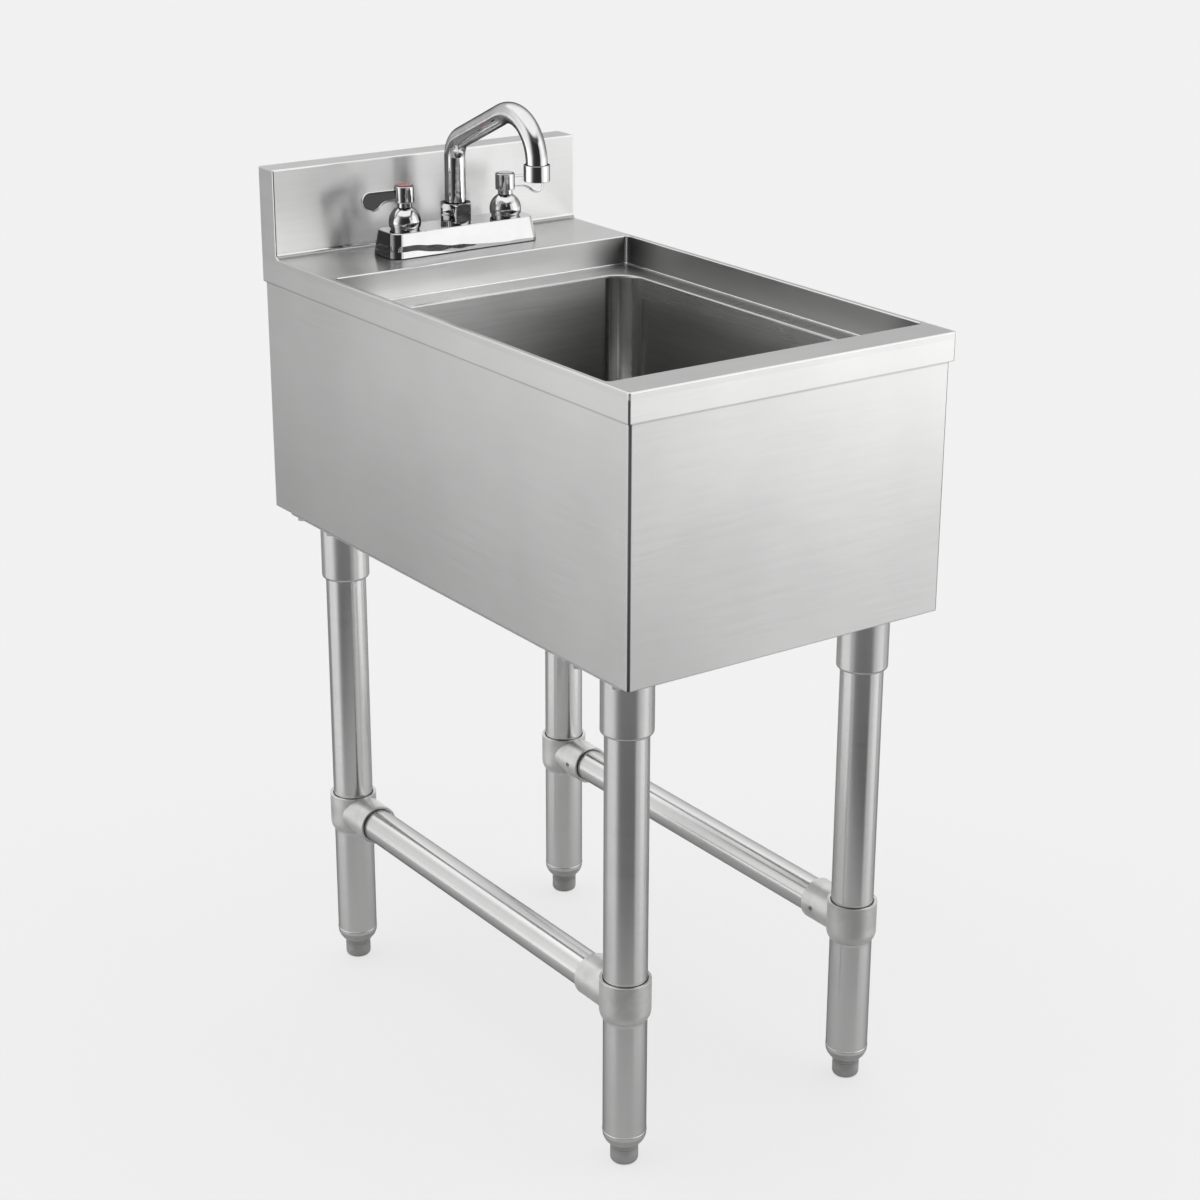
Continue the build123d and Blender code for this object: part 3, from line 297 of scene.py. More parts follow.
def add_floor():
    """A plain pale floor with a soft shadow. Further off, metal sees the studio through it."""
    mesh = bpy.data.meshes.new("floor")
    corners = [(-1, -1), (1, -1), (1, 1), (-1, 1)]
    mesh.from_pydata([(x * floor_half, y * floor_half, 0) for x, y in corners], [], [(0, 1, 2, 3)])
    material, tree = new_material("floor")
    distance = tree.math("DIVIDE", tree.vector("LENGTH", tree.place()), floor_reach)
    away = tree.stops(distance, [(metres / floor_reach, share) for metres, share in floor_clear])
    rays = tree.add("ShaderNodeLightPath").outputs
    in_metal = rays["Is Glossy Ray"]
    clear = tree.times(in_metal, away)
    clear = tree.math("MULTIPLY_ADD", rays["Is Camera Ray"], 1.0 - floor_seen, clear)
    tone = tree.mix(in_metal, grey(floor_white), grey(floor_in_metal))
    pale = tree.add("ShaderNodeBsdfDiffuse", Color=tone).outputs[0]
    gone = tree.add("ShaderNodeBsdfTransparent").outputs[0]
    tree.surface(tree.add("ShaderNodeMixShader", **{"0": clear, "1": pale, "2": gone}))
    mesh.materials.append(material)
    linked(bpy.data.objects.new("floor", mesh))


# Brushing: how many lines cross a metre along and across the grain, and how much coarser the broad
# lines are among the fine ones
lines_along, lines_across = 26.0, 1500.0
broad_lines = (0.35, 0.16, 1.0)
broad_share = 0.45
# Faint clouds on brushed steel: how many to the metre, then the levels they run between
patch_scale, patch_light = 11.0, (0.975, 1.02)
wear_scale, wear_rough = 7.0, (-0.015, 0.025)
brushed_outline = 0.45
# How far a normal leans before the grain counts as that face's, and before it counts as a fold
face_lean = (0.6, 0.8)
fold_lean = (0.980, 0.999, 1.0, 0.0)
# Keeps the grain's direction defined on level faces
level_grain = (0.04, 0.0, 0.0)


def brushed(name, colour, roughness, stretch, grain=0.02, wear=0.012, fold=0.10, tubes=False,
            zones=None):
    """Brushed steel: the grain lies level, or round a tube, and blurs what it shows across itself.

    Grain and wear say how much the lines change its lightness and its roughness. Folds are
    burnished to the roughness that fold gives. Zones paint light and shade into the colour: how
    light each place is painted beside the rest, and how much rougher it is.
    """
    material, tree = new_material(name)
    place = tree.place()
    xyz = tree.axes(place)
    normal = tree.normal()
    facing = tree.axes(normal)
    if tubes:
        over_low = tree.math("GREATER_THAN", xyz["Z"], rail_band[0])
        rail = tree.times(over_low, tree.math("LESS_THAN", xyz["Z"], rail_band[1]))
        blur_along = tree.mix(rail, (0.0, 0.0, 1.0, 1.0), (0.0, 1.0, 0.0, 1.0))
        across = tree.lerp(rail, xyz["Z"], xyz["Y"])
        along = tree.math("ADD", xyz["X"], tree.lerp(rail, xyz["Y"], xyz["Z"]))
        folded = None
    else:
        level = tree.vector("CROSS_PRODUCT", (0.0, 0.0, 1.0), normal)
        level = tree.vector("ADD", level, level_grain)
        blur_along = tree.vector("NORMALIZE", tree.vector("CROSS_PRODUCT", normal, level))
        x_size, y_size, z_size = [tree.size(facing[axis]) for axis in "XYZ"]
        across = tree.lerp(tree.ramp(z_size, *face_lean), xyz["Z"], xyz["Y"])
        along = tree.lerp(tree.ramp(x_size, *face_lean), xyz["X"], xyz["Y"])
        most = tree.math("MAXIMUM", tree.math("MAXIMUM", x_size, y_size), z_size)
        folded = tree.ramp(most, *fold_lean)
    lines = tree.point(tree.times(along, lines_along), tree.times(across, lines_across))
    fine = tree.noise(lines, 1.0, two_layers)
    broad = tree.noise(tree.stretched(lines, broad_lines), 1.0)
    both = tree.lerp(broad_share, fine, broad)
    light = tree.ramp(both, *noise_span, 1.0 - grain, 1.0 + grain)
    patches = tree.noise(place, patch_scale, two_layers)
    light = tree.times(light, tree.ramp(patches, *noise_span, *patch_light))
    rough = tree.ramp(both, *noise_span, roughness - wear, roughness + wear)
    worn = tree.ramp(tree.noise(place, wear_scale), *cloud_span, *wear_rough)
    rough = tree.math("ADD", rough, worn)
    if zones:
        # The zones' painted light and shade multiply the steel's colour
        painted_zone_light, zone_rough = zones(tree, xyz, facing)
        light = tree.times(light, painted_zone_light)
        rough = tree.math("ADD", rough, zone_rough)
    if folded is not None:
        rough = tree.lerp(folded, rough, fold)
    tree.surface(tree.add(
        "ShaderNodeBsdfPrincipled", Metallic=1.0, Anisotropic=stretch,
        Specular_Tint=grey(brushed_outline), Base_Color=tree.scaled(colour, light),
        Roughness=rough, Tangent=blur_along,
    ))
    return material


# The zones below paint light and shade into the steel's colour. A shade gives two places or
# leanings and how light the steel is painted at each, and an edge gives the two between which a
# zone begins.
# Painted shade at upright folds: how far the wall has turned, and how light it is painted
corner_shade = (0.12, 0.42, 1.0, 0.25)


def turned(tree, facing):
    """0 on a flat wall, and up to a half where a wall turns round an upright corner."""
    return tree.times(tree.size(facing["X"]), tree.size(facing["Y"]))


def upright_fold_painted_shade(tree, facing):
    """Painted shade: the sheet is painted dull and dark where it is folded round an upright corner.
    """
    return tree.ramp(turned(tree, facing), *corner_shade)


well_side_margin, well_end_margin, well_top_margin = 0.0014, 0.0027, 0.0008
# Painted shade near the well's corners: by distance from the corner, how light it is painted
weld_corner_painted_shade = (0.003, 0.048, 0.45, 1.0)
# Painted shade along the foot of the well's walls, just above the ledge
wall_foot_painted_shade = (ledge_top, ledge_top + 0.0022, 0.60, 1.0)
# Painted shade on the well's right wall, by how far the wall faces left
right_wall_painted_shade = (-0.85, -0.60, 0.62, 1.0)
# Painted light on the well's rear wall and painted shade on its front wall
well_rear_painted_light, well_front_painted_shade = 1.20, 0.85
well_rough = 0.10
# Painted shade in the cove where the deck meets the splash: where it lies, and how light it is
# painted
cove_line, cove_top, cove_painted_shade = (0.2372, 0.2386), (0.6552, 0.6542), 0.50
cove_side_lean, cove_rear_lean = 0.5, 0.3
above_rim = 0.0001
# Painted shade: a dark line along the skirt's lower edge, with painted light on the skirt above it
skirt_top, skirt_painted_shade = (0.6475, 0.6455), (0.6291, 0.6303, 0.70, 1.05)
level_lean, deck_edge = (0.90, 0.99), (0.150, 0.156)
# Painted light on the deck, and how much smoother it is
deck_painted_light, deck_rough = 1.20, -0.01
upright_lean, splash_foot = (-0.95, -0.99), (0.655, 0.658)
# Painted light on the splash, lightest towards its left, and how much rougher it is
splash_painted_light, splash_rough = (-0.05, 0.12, 1.12, 0.98), 0.07


def sink_top_painted_light(tree, xyz, facing):
    """Painted shade in the well's welded corners, along the foot of its walls, on its right and
    front walls, in the cove and along the skirt; painted light on the deck, the well's rear wall
    and the splash. The deck is the smoothest face.
    """
    x_side = tree.size(xyz["X"])
    y_side = tree.size(tree.math("SUBTRACT", xyz["Y"], well_middle))
    inside = tree.times(
        tree.math("LESS_THAN", x_side, well_half + well_side_margin),
        tree.math("LESS_THAN", y_side, well_reach + well_end_margin),
    )
    below_rim = tree.math("LESS_THAN", xyz["Z"], rim_height - well_top_margin)
    in_well = tree.times(inside, below_rim)
    x_gap = tree.math("SUBTRACT", x_side, well_half)
    y_gap = tree.math("SUBTRACT", y_side, well_reach)
    gap = tree.math("ADD", tree.times(x_gap, x_gap), tree.times(y_gap, y_gap))
    # Painted shade in the well: near its welded corners, along the foot of its walls and on its
    # right wall
    well = tree.times(
        tree.ramp(tree.math("SQRT", gap), *weld_corner_painted_shade),
        tree.ramp(xyz["Z"], *wall_foot_painted_shade),
        tree.ramp(facing["X"], *right_wall_painted_shade),
    )
    # Painted shade in the cove between the deck and the splash
    cove = tree.times(
        tree.ramp(xyz["Y"], *cove_line),
        tree.ramp(xyz["Z"], *cove_top),
        tree.math("GREATER_THAN", xyz["Z"], rim_height + above_rim),
        tree.math("LESS_THAN", tree.size(facing["X"]), cove_side_lean),
        tree.math("LESS_THAN", facing["Y"], cove_rear_lean),
    )
    outside = tree.math("SUBTRACT", 1.0, inside)
    skirt = tree.times(outside, tree.ramp(xyz["Z"], *skirt_top))
    rear_wall = tree.times(in_well, tree.ramp(facing["Y"], *faces_front))
    front_wall = tree.times(in_well, tree.ramp(facing["Y"], *faces_rear))
    deck = tree.times(tree.ramp(facing["Z"], *level_lean), tree.ramp(xyz["Y"], *deck_edge))
    splash = tree.times(tree.ramp(facing["Y"], *upright_lean), tree.ramp(xyz["Z"], *splash_foot))
    # Each zone's painted light or shade, multiplied together
    light = tree.times(
        tree.within(in_well, well),
        tree.within(cove, cove_painted_shade),
        # Painted shade along the skirt's lower edge and at its upright corners, painted light above
        tree.within(skirt, tree.ramp(xyz["Z"], *skirt_painted_shade)),
        tree.within(skirt, upright_fold_painted_shade(tree, facing)),
        tree.within(rear_wall, well_rear_painted_light),
        tree.within(front_wall, well_front_painted_shade),
        tree.within(deck, deck_painted_light),
        tree.within(splash, tree.ramp(xyz["X"], *splash_painted_light)),
    )
    rough = tree.math("ADD", tree.times(deck, deck_rough), tree.times(in_well, well_rough))
    return light, tree.math("ADD", rough, tree.times(splash, splash_rough))


# Painted shade under the rim's skirt, painted light towards the apron's top and painted shade on
# its front, to the left
under_skirt_painted_shade = (0.6262, 0.6286, 1.0, 0.62)
apron_top_painted_light = (0.43, 0.62, 0.92, 1.02)
apron_front_painted_shade = (-0.16, 0.05, 0.90, 1.0)


def apron_painted_light(tree, xyz, facing):
    """Painted light makes the apron a little lighter towards its top, and painted shade draws a
    dark line under the rim's skirt and darkens its front towards the left and its upright corners.
    """
    front = tree.ramp(facing["Y"], *faces_front)
    light = tree.times(
        tree.ramp(xyz["Z"], *under_skirt_painted_shade),
        tree.ramp(xyz["Z"], *apron_top_painted_light),
        tree.within(front, tree.ramp(xyz["X"], *apron_front_painted_shade)),
        upright_fold_painted_shade(tree, facing),
    )
    return light, 0.0


# Where the painted light along the bowl's mouth begins, and how its edge wavers
mouth_edge = (0.596, 0.622)
mouth_waves, mouth_wobble = 9.0, (-0.003, 0.003)
# Painted light along the mouth, lighter to the left, and how much rougher the mouth is
mouth_painted_light, mouth_rough = (-0.12, 0.12, 1.20, 0.90), 0.05
# Painted shade deeper down the walls
depth_painted_shade = (0.46, 0.60, 0.56, 1.00)
# Painted light to the bowl's left and painted shade to its right
bowl_side_painted_shade = (-0.12, 0.10, 1.30, 0.60)
# Painted highlight in the bowl's rounded corners
bowl_corner_painted_highlight = (0.10, 0.40, 1.0, 2.3)
# Painted light on the rear wall, and how much rougher it is
bowl_rear_painted_light, bowl_rear_rough = 1.20, 0.13
# Painted shade on the front wall
bowl_front_painted_shade = 0.60
# The most that the painted light may lighten the walls
bowl_lightest = 1.18
# Painted shade on the rounding below the mouth: the leanings it lies between, how high it starts,
# and how light it is painted
rounding_edge, rounding_end = (0.10, 0.35), (0.985, 0.93)
rounding_low, rounding_painted_shade = 0.60, 0.72


def bowl_painted_light(tree, xyz, facing):
    """Painted light along the bowl's mouth, in its corners and on its rear wall, and painted shade
    down its walls, most of all to the right, on its front wall and on the rounding below its mouth.
    """
    wobble = tree.noise(tree.point(xyz["X"], xyz["Y"]), mouth_waves, two_layers)
    wobble = tree.ramp(wobble, *noise_span, *mouth_wobble)
    mouth = tree.ramp(tree.math("ADD", xyz["Z"], wobble), *mouth_edge)
    rear = tree.ramp(facing["Y"], *faces_front)
    wall = tree.times(
        tree.ramp(xyz["Z"], *depth_painted_shade),
        tree.ramp(xyz["X"], *bowl_side_painted_shade),
        tree.ramp(turned(tree, facing), *bowl_corner_painted_highlight),
        tree.within(rear, bowl_rear_painted_light),
        tree.ramp(facing["Y"], *faces_rear, 1.0, bowl_front_painted_shade),
    )
    wall = tree.math("MINIMUM", wall, bowl_lightest)
    light = tree.lerp(mouth, wall, tree.ramp(xyz["X"], *mouth_painted_light))
    rounding = tree.times(
        tree.ramp(facing["Z"], *rounding_edge),
        tree.ramp(facing["Z"], *rounding_end),
        tree.math("GREATER_THAN", xyz["Z"], rounding_low),
    )
    rough = tree.math("MULTIPLY_ADD", rear, bowl_rear_rough, tree.times(mouth, mouth_rough))
    return tree.times(light, tree.within(rounding, rounding_painted_shade)), rough


metal_coarse = 0.17
metal_fine_share, metal_coarse_share = 0.6, 0.4
metal_streak = 0.05
metal_wear_scale, metal_wear = 9.0, (-0.02, 0.03)
metal_ridge_strength, metal_ridge = 0.02, 0.0004


def metal(name, colour, roughness, grain, tone=0.06):
    """A metal with a grain: grain gives how often it changes along X, Y and Z, per metre."""
    material, tree = new_material(name)
    place = tree.place()
    fine = tree.noise(tree.stretched(place, grain), 1.0, two_layers)
    coarse = tree.noise(tree.stretched(place, tuple(often * metal_coarse for often in grain)), 1.0)
    both = tree.math(
        "ADD", tree.times(fine, metal_fine_share), tree.times(coarse, metal_coarse_share)
    )
    dark, lit = toned(colour, 1.0 - tone), toned(colour, 1.0 + tone)
    streaky = tree.ramp(both, *noise_span, roughness - metal_streak, roughness + metal_streak)
    worn = tree.ramp(tree.noise(place, metal_wear_scale), *cloud_span, *metal_wear)
    ridges = tree.add(
        "ShaderNodeBump", Strength=metal_ridge_strength, Distance=metal_ridge, Height=both
    )
    tree.surface(tree.add(
        "ShaderNodeBsdfPrincipled", Metallic=1.0,
        Base_Color=tree.mix(tree.ramp(both, *noise_span), dark, lit),
        Roughness=tree.math("ADD", streaky, worn), Normal=ridges.outputs[0],
    ))
    return material


chrome_clouds, chrome_dull, chrome_haze = 60.0, 0.96, 0.03
chrome_waves, chrome_wave_strength, chrome_wave = 55.0, 0.5, 0.0006
# The faucet body's sides are pressed in below an edge that rises to the left and wavers, and its
# left end carries a painted dark reflection
end_painted_dark_reflection = (-0.85, -0.45, 0.35, 1.0)
press_edge, press_rise = 0.6545, (0.035, -0.060, -0.0010, 0.0070)
press_waves, press_waver = 28.0, (-0.0010, 0.0010)
press_hollow = (-0.0040, 0.0008, -0.00055, 0.0)


def pressed_in(tree, place, normal):
    """The hollow in the faucet body's sides, laid over the normal that it already has."""
    xyz = tree.axes(place)
    waver = tree.ramp(tree.noise(place, press_waves, one_layer), *noise_span, *press_waver)
    edge = tree.math("ADD", tree.ramp(xyz["X"], *press_rise), waver)
    above = tree.math("SUBTRACT", tree.math("SUBTRACT", xyz["Z"], press_edge), edge)
    hollow = tree.ramp(above, *press_hollow, kind="LINEAR")
    return tree.add(
        "ShaderNodeBump", Strength=1.0, Distance=1.0, Height=hollow, Normal=normal
    ).outputs[0]


def chrome_plate(name, colour, roughness, outline, pressed=False):
    """Polished plate, slightly uneven as cast and buffed parts are.

    Outline says how light the reflection stays where the surface turns away.
    """
    material, tree = new_material(name)
    place = tree.place()
    cloud = tree.noise(place, chrome_clouds)
    tone = tree.mix(tree.ramp(cloud, *cloud_span), toned(colour, chrome_dull), toned(colour, 1.0))
    waves = tree.noise(place, chrome_waves, two_layers)
    uneven = tree.add(
        "ShaderNodeBump", Strength=chrome_wave_strength, Distance=chrome_wave, Height=waves
    ).outputs[0]
    if pressed:
        # A painted dark reflection on the body's left-facing end
        tone = tree.scaled(tone, tree.ramp(tree.axes(tree.normal())["X"], *end_painted_dark_reflection))
        uneven = pressed_in(tree, place, uneven)
    tree.surface(tree.add(
        "ShaderNodeBsdfPrincipled", Metallic=1.0, Specular_Tint=grey(outline), Base_Color=tone,
        Roughness=tree.ramp(cloud, *noise_span, roughness, roughness + chrome_haze), Normal=uneven,
    ))
    return material


crystals_per_metre = 150.0
crystal_bends, crystal_shift = 300.0, 0.0014
crystal_tones, crystal_rough = (0.90, 1.08), (0.34, 0.50)


def galvanised(name, colour):
    """Zinc-coated sheet: flat crystals, each of its own tone and dullness."""
    material, tree = new_material(name)
    place = tree.place()
    shift = tree.add("ShaderNodeTexNoise", Vector=place, Scale=crystal_bends).outputs["Color"]
    bent = tree.vector("ADD", place, tree.scaled(shift, crystal_shift))
    crystals = tree.add("ShaderNodeTexVoronoi", Vector=bent, Scale=crystals_per_metre)
    level = tree.axes(crystals.outputs["Color"])
    dark, lit = [toned(colour, share) for share in crystal_tones]
    tree.surface(tree.add(
        "ShaderNodeBsdfPrincipled", Metallic=1.0, Base_Color=tree.mix(level["X"], dark, lit),
        Roughness=tree.lerp(level["Y"], *crystal_rough),
    ))
    return material


grit_layers, grit_roughness, grit_span = 4.0, 0.6, (0.2, 0.8)
grit_cloud, grit_tones, grit_haze, grit_ridge = 0.03, (0.88, 1.08), 0.06, 0.0003


def plain(name, colour, roughness, grit, bump, metallic=0.0):
    """Rubber, plastic or cast metal: even colour with a fine grit, given per metre."""
    material, tree = new_material(name)
    place = tree.place()
    grain = tree.noise(place, grit, grit_layers, grit_roughness)
    cloud = tree.noise(place, grit * grit_cloud)
    dark, lit = [toned(colour, share) for share in grit_tones]
    ridges = tree.add("ShaderNodeBump", Strength=bump, Distance=grit_ridge, Height=grain)
    tree.surface(tree.add(
        "ShaderNodeBsdfPrincipled", Metallic=metallic,
        Base_Color=tree.mix(tree.ramp(cloud, *noise_span), dark, lit),
        Roughness=tree.ramp(grain, *grit_span, roughness - grit_haze, roughness + grit_haze),
        Normal=ridges.outputs[0],
    ))
    return material


def grown(name, build, sizes, material, body):
    """A piece made by a geometry tree of its own, turned into a plain mesh that rides on a body."""
    group = bpy.data.node_groups.new(name, "GeometryNodeTree")
    for size in sizes:
        group.interface.new_socket(name=size, in_out="INPUT", socket_type="NodeSocketFloat")
    group.interface.new_socket(name="Shape", in_out="OUTPUT", socket_type="NodeSocketGeometry")
    tree = Tree(group)
    shape = build(tree, tree.add("NodeGroupInput").outputs)
    whole = tree.add("GeometryNodeRealizeInstances", Geometry=shape)
    smooth = tree.add("GeometryNodeSetShadeSmooth", Geometry=whole.outputs[0])
    coated = tree.add("GeometryNodeSetMaterial", Geometry=smooth.outputs[0], Material=material)
    tree.add("NodeGroupOutput", Shape=coated.outputs[0])
    maker = linked(bpy.data.objects.new(name + "_maker", bpy.data.meshes.new(name + "_maker")))
    modifier = maker.modifiers.new(name, "NODES")
    modifier.node_group = group
    for item in group.interface.items_tree:
        if item.in_out == "INPUT":
            modifier[item.identifier] = float(sizes[item.name])
    solid = maker.evaluated_get(bpy.context.evaluated_depsgraph_get())
    mesh = bpy.data.meshes.new_from_object(solid)
    bpy.data.objects.remove(maker)
    piece = linked(bpy.data.objects.new(name, mesh))
    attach(piece, body)
    return piece


# How finely the grown pieces are cut: sides of a bead, a lip and a thread's ridge, steps round a
# lip, round a corner of the seam and up a weld, and steps to each turn of a thread
seam_sides, lip_sides, weld_sides, ridge_sides = 10, 10, 12, 4
lip_steps, seam_corner_steps, weld_steps, thread_steps = 64, 8, 96, 24
weld_swell = 0.10


def swept(tree, path, radius, sides, scale=1.0):
    """A round bar along a path."""
    profile = tree.add("GeometryNodeCurvePrimitiveCircle", Resolution=sides, Radius=radius)
    return tree.add(
        "GeometryNodeCurveToMesh",
        Curve=path, Profile_Curve=profile.outputs[0], Scale=scale, Fill_Caps=True,
    ).outputs[0]


def moved(tree, shape, x, y, z):
    place = tree.point(x, y, z)
    return tree.add("GeometryNodeTransform", Geometry=shape, Translation=place).outputs[0]


def rectangle(tree, given):
    return tree.add(
        "GeometryNodeCurvePrimitiveQuadrilateral", Width=given["Width"], Height=given["Length"]
    ).outputs[0]


def at_four_corners(tree, given, shape):
    """One copy of a shape at each corner of a rectangle."""
    copies = tree.add(
        "GeometryNodeInstanceOnPoints", Points=rectangle(tree, given), Instance=shape
    )
    return moved(tree, copies.outputs[0], 0.0, given["Middle"], 0.0)


def corner_welds(tree, given):
    """Upright weld beads with ripples, in the corners of the well."""
    low, high = tree.point(z=given["Low"]), tree.point(z=given["High"])
    line = tree.add("GeometryNodeCurvePrimitiveLine", Start=low, End=high).outputs[0]
    path = tree.add("GeometryNodeResampleCurve", Curve=line, Count=weld_steps).outputs[0]
    length = tree.add("GeometryNodeSplineParameter").outputs["Length"]
    turns = tree.math("DIVIDE", tree.times(length, 2.0 * math.pi), given["Ripple"])
    wave = tree.math("MULTIPLY_ADD", tree.math("SINE", turns), weld_swell, 1.0)
    return at_four_corners(tree, given, swept(tree, path, given["Radius"], weld_sides, wave))


def well_seam(tree, given):
    """A polished seam where the walls of the well meet the ledge."""
    rounded = tree.add(
        "GeometryNodeFilletCurve", {"mode": "POLY"},
        Curve=rectangle(tree, given), Radius=given["Corner"], Count=seam_corner_steps,
    )
    bead = swept(tree, rounded.outputs[0], given["Radius"], seam_sides)
    return moved(tree, bead, 0.0, given["Middle"], given["Height"])


def rolled_ring(tree, given):
    circle = tree.add(
        "GeometryNodeCurvePrimitiveCircle", Resolution=lip_steps, Radius=given["Ring"]
    )
    return swept(tree, circle.outputs[0], given["Lip"], lip_sides)


def lips_on_top(tree, given):
    """A rolled lip round the top of each upright collar."""
    ring = moved(tree, rolled_ring(tree, given), 0.0, 0.0, given["Height"])
    return at_four_corners(tree, given, ring)


def lips_on_branch(tree, given):
    """A rolled lip round the end of each branch, where the rails go in."""
    upright = tree.add(
        "GeometryNodeTransform",
        Geometry=rolled_ring(tree, given), Rotation=(math.pi / 2.0, 0.0, 0.0),
    )
    ring = moved(tree, upright.outputs[0], 0.0, 0.0, given["Height"])
    return at_four_corners(tree, given, ring)


def thread(tree, given):
    """One ridge that winds up a round bar."""
    winding = tree.add(
        "GeometryNodeCurveSpiral", Resolution=thread_steps, Rotations=given["Turns"],
        Start_Radius=given["Root"], End_Radius=given["Root"], Height=given["Length"],
    )
    level = tree.add("GeometryNodeSetCurveNormal", {"mode": "Z_UP"}, Curve=winding.outputs[0])
    ridge = swept(tree, level.outputs[0], given["Ridge"], ridge_sides)
    return moved(tree, ridge, given["Across"], given["Along"], given["Low"])


def thread_sizes(across, along, low, high, root, ridge, pitch):
    return {
        "Across": across, "Along": along, "Low": low, "Length": high - low,
        "Turns": (high - low) / pitch, "Root": root, "Ridge": ridge,
    }


# The screw feet: where the thread runs, and which points of the CAD foot are its plain stem's
foot_thread_low, foot_thread_top_gap = 0.0185, 0.0012
foot_thread_root, foot_thread_ridge, foot_thread_pitch = 0.0054, 0.0006, 0.00175
stem_low, stem_radii = 0.0170, (0.0052, 0.0062)
merge_distance = 0.000002
sharp_angle = math.radians(35.0)


def threaded_foot(foot):
    """A copy of a screw foot whose plain stem becomes a thread, no wider than before."""
    low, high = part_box(foot)
    middle = [(a + b) / 2.0 for a, b in zip(low, high)]
    ridge = grown(
        foot + "_thread", thread,
        thread_sizes(
            across=middle[0], along=middle[1], low=foot_thread_low,
            high=high[2] - foot_thread_top_gap, root=foot_thread_root, ridge=foot_thread_ridge,
            pitch=foot_thread_pitch,
        ),
        finish["grey_plastic"], foot,
    )
    shape = bmesh.new()
    shape.from_mesh(node_object[foot].data)
    bmesh.ops.remove_doubles(shape, verts=shape.verts, dist=merge_distance)
    for vert in shape.verts:
        out = Vector((vert.co.x - middle[0], vert.co.y - middle[1]))
        if vert.co.z > stem_low and stem_radii[0] < out.length < stem_radii[1]:
            narrow = out * (out.length - foot_thread_ridge) / out.length
            vert.co.x, vert.co.y = middle[0] + narrow.x, middle[1] + narrow.y
    shape.from_mesh(ridge.data)
    mesh = bpy.data.meshes.new(foot + "_threaded")
    shape.to_mesh(mesh)
    shape.free()
    bpy.data.objects.remove(ridge)
    for face in mesh.polygons:
        face.use_smooth = True
    mesh.set_sharp_from_angle(angle=sharp_angle)
    mesh.materials.clear()
    mesh.materials.append(finish["grey_plastic"])
    piece = linked(bpy.data.objects.new(foot + "_threaded", mesh))
    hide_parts(foot)
    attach(piece, foot)


add_camera()
add_world()
add_floor()

steel = (0.82, 0.82, 0.815)
plate = (0.77, 0.77, 0.775)
finish = {
    "stainless_sheet": brushed("brushed sheet", steel, roughness=0.22, stretch=0.92),
    "sink_top": brushed(
        "sink top steel", steel, roughness=0.22, stretch=0.92, zones=sink_top_painted_light
    ),
    "apron": brushed("apron steel", steel, roughness=0.22, stretch=0.92, zones=apron_painted_light),
    "bowl": brushed(
        "bowl steel", steel, roughness=0.24, stretch=0.80, grain=0.07, fold=0.15, zones=bowl_painted_light
    ),
    "stainless_tube": brushed("tube steel", steel, roughness=0.20, stretch=0.85, tubes=True),
    "stainless_socket": brushed(
        "socket steel", steel, roughness=0.26, stretch=0.50, grain=0.008, wear=0.003, tubes=True
    ),
    "galvanised_sheet": galvanised("galvanised", (0.60, 0.61, 0.62)),
    "zinc_fastener": metal(
        "zinc", (0.55, 0.55, 0.54), roughness=0.35, grain=(300.0, 300.0, 300.0)
    ),
    "stainless_drain": metal("drain steel", steel, roughness=0.22, grain=(300.0, 300.0, 900.0)),
    "weld": metal(
        "polished weld", (0.94, 0.94, 0.94), roughness=0.14, grain=(900.0, 900.0, 900.0), tone=0.10
    ),
    "chrome": chrome_plate("chrome", plate, roughness=0.015, outline=0.05),
    "faucet_body": chrome_plate("body chrome", plate, roughness=0.015, outline=0.80, pressed=True),
    "brass": metal("brass", (0.72, 0.56, 0.30), roughness=0.30, grain=(90.0, 90.0, 1400.0)),
    "cast_tee": plain(
        "satin casting", (0.78, 0.78, 0.77), roughness=0.40, grit=1500.0, bump=0.15, metallic=1.0
    ),
    "black_rubber": plain("rubber", (0.03, 0.03, 0.03), roughness=0.7, grit=1200.0, bump=0.2),
    "grey_plastic": plain(
        "grey plastic", (0.40, 0.40, 0.395), roughness=0.30, grit=1500.0, bump=0.1
    ),
    "aerator_plastic": plain(
        "aerator plastic", (0.10, 0.10, 0.10), roughness=0.45, grit=1500.0, bump=0.1
    ),
    "hot_button": plain("red button", (0.45, 0.10, 0.08), roughness=0.25, grit=900.0, bump=0.03),
    "cold_button": plain("grey button", (0.40, 0.41, 0.42), roughness=0.25, grit=900.0, bump=0.03),
}
slot_of = {part["node"]: part["material_slot"] for part in frame["record"]["subparts"]}
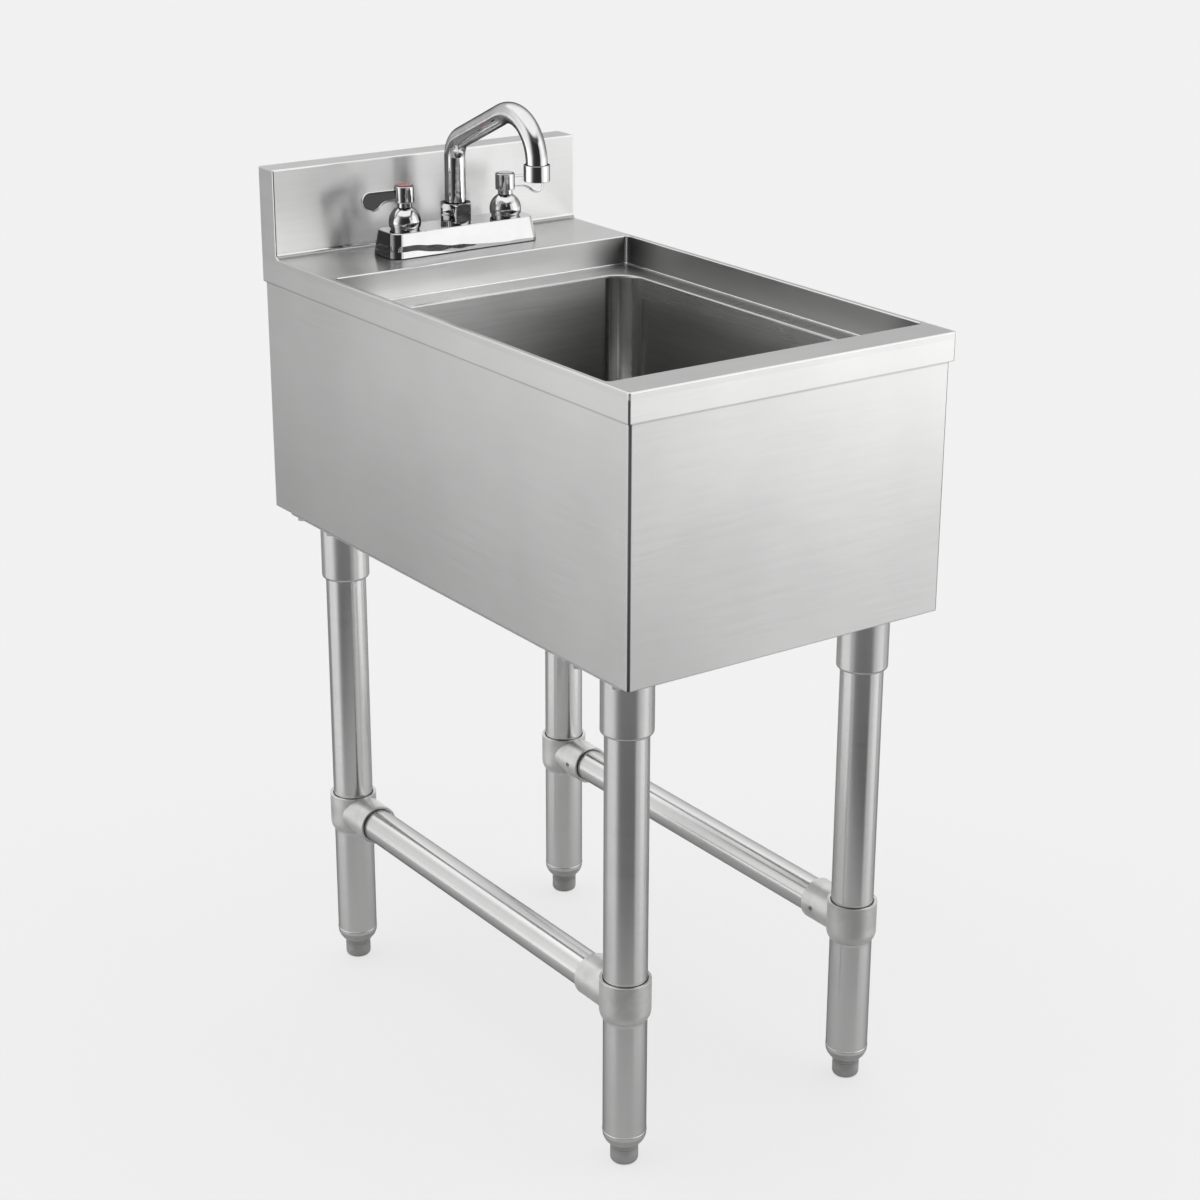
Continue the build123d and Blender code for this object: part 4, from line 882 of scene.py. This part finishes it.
for node, thing in node_object.items():
    thing.data.materials.clear()
    thing.data.materials.append(finish[node if node in finish else slot_of[node]])

weld_inset, weld_foot_gap, weld_top_gap = 0.0006, 0.0005, 0.0012
seam_inset, seam_lift = 0.0002, 0.0003
grown(
    "well_corner_welds", corner_welds,
    {
        "Width": 2.0 * (well_half - weld_inset), "Length": 2.0 * (well_reach - weld_inset),
        "Middle": well_middle, "Low": ledge_top + weld_foot_gap, "High": rim_height - weld_top_gap,
        "Radius": 0.0015, "Ripple": 0.0012,
    },
    finish["weld"], "sink",
)
grown(
    "well_ledge_seam", well_seam,
    {
        "Width": 2.0 * (well_half - seam_inset), "Length": 2.0 * (well_reach - seam_inset),
        "Middle": well_middle, "Height": ledge_top + seam_lift, "Corner": 0.0035, "Radius": 0.0011,
    },
    finish["weld"], "sink",
)
at_legs = {"Width": leg_across, "Length": leg_apart, "Middle": leg_middle}
at_branches = dict(at_legs, Length=leg_apart - tee_branch_reach)
grown(
    "leg_end_lips", lips_on_top, dict(at_legs, Ring=0.0172, Lip=0.0007, Height=0.0290),
    finish["stainless_tube"], "sink",
)
grown(
    "tee_top_lips", lips_on_top, dict(at_legs, Ring=0.0202, Lip=0.0006, Height=0.1642),
    finish["cast_tee"], "sink",
)
grown(
    "tee_branch_lips", lips_on_branch, dict(at_branches, Ring=0.0171, Lip=0.0007, Height=0.1475),
    finish["cast_tee"], "sink",
)
for side, name in ((-1.0, "hot"), (1.0, "cold")):
    grown(
        name + "_shank_thread", thread,
        thread_sizes(
            across=side * shank_side, along=shank_line, low=0.6010, high=0.6400, root=0.0103,
            ridge=0.00045, pitch=0.00181,
        ),
        finish["chrome"], "sink",
    )
grown(
    "drain_thread", thread,
    thread_sizes(
        across=0.0, along=well_middle, low=0.4155, high=0.4400, root=0.0228, ridge=0.0006,
        pitch=0.0022,
    ),
    finish["stainless_drain"], "sink",
)
for foot in ("foot_front_left", "foot_front_right", "foot_rear_left", "foot_rear_right"):
    threaded_foot(foot)

bpy.context.scene.view_settings.view_transform = "Standard"
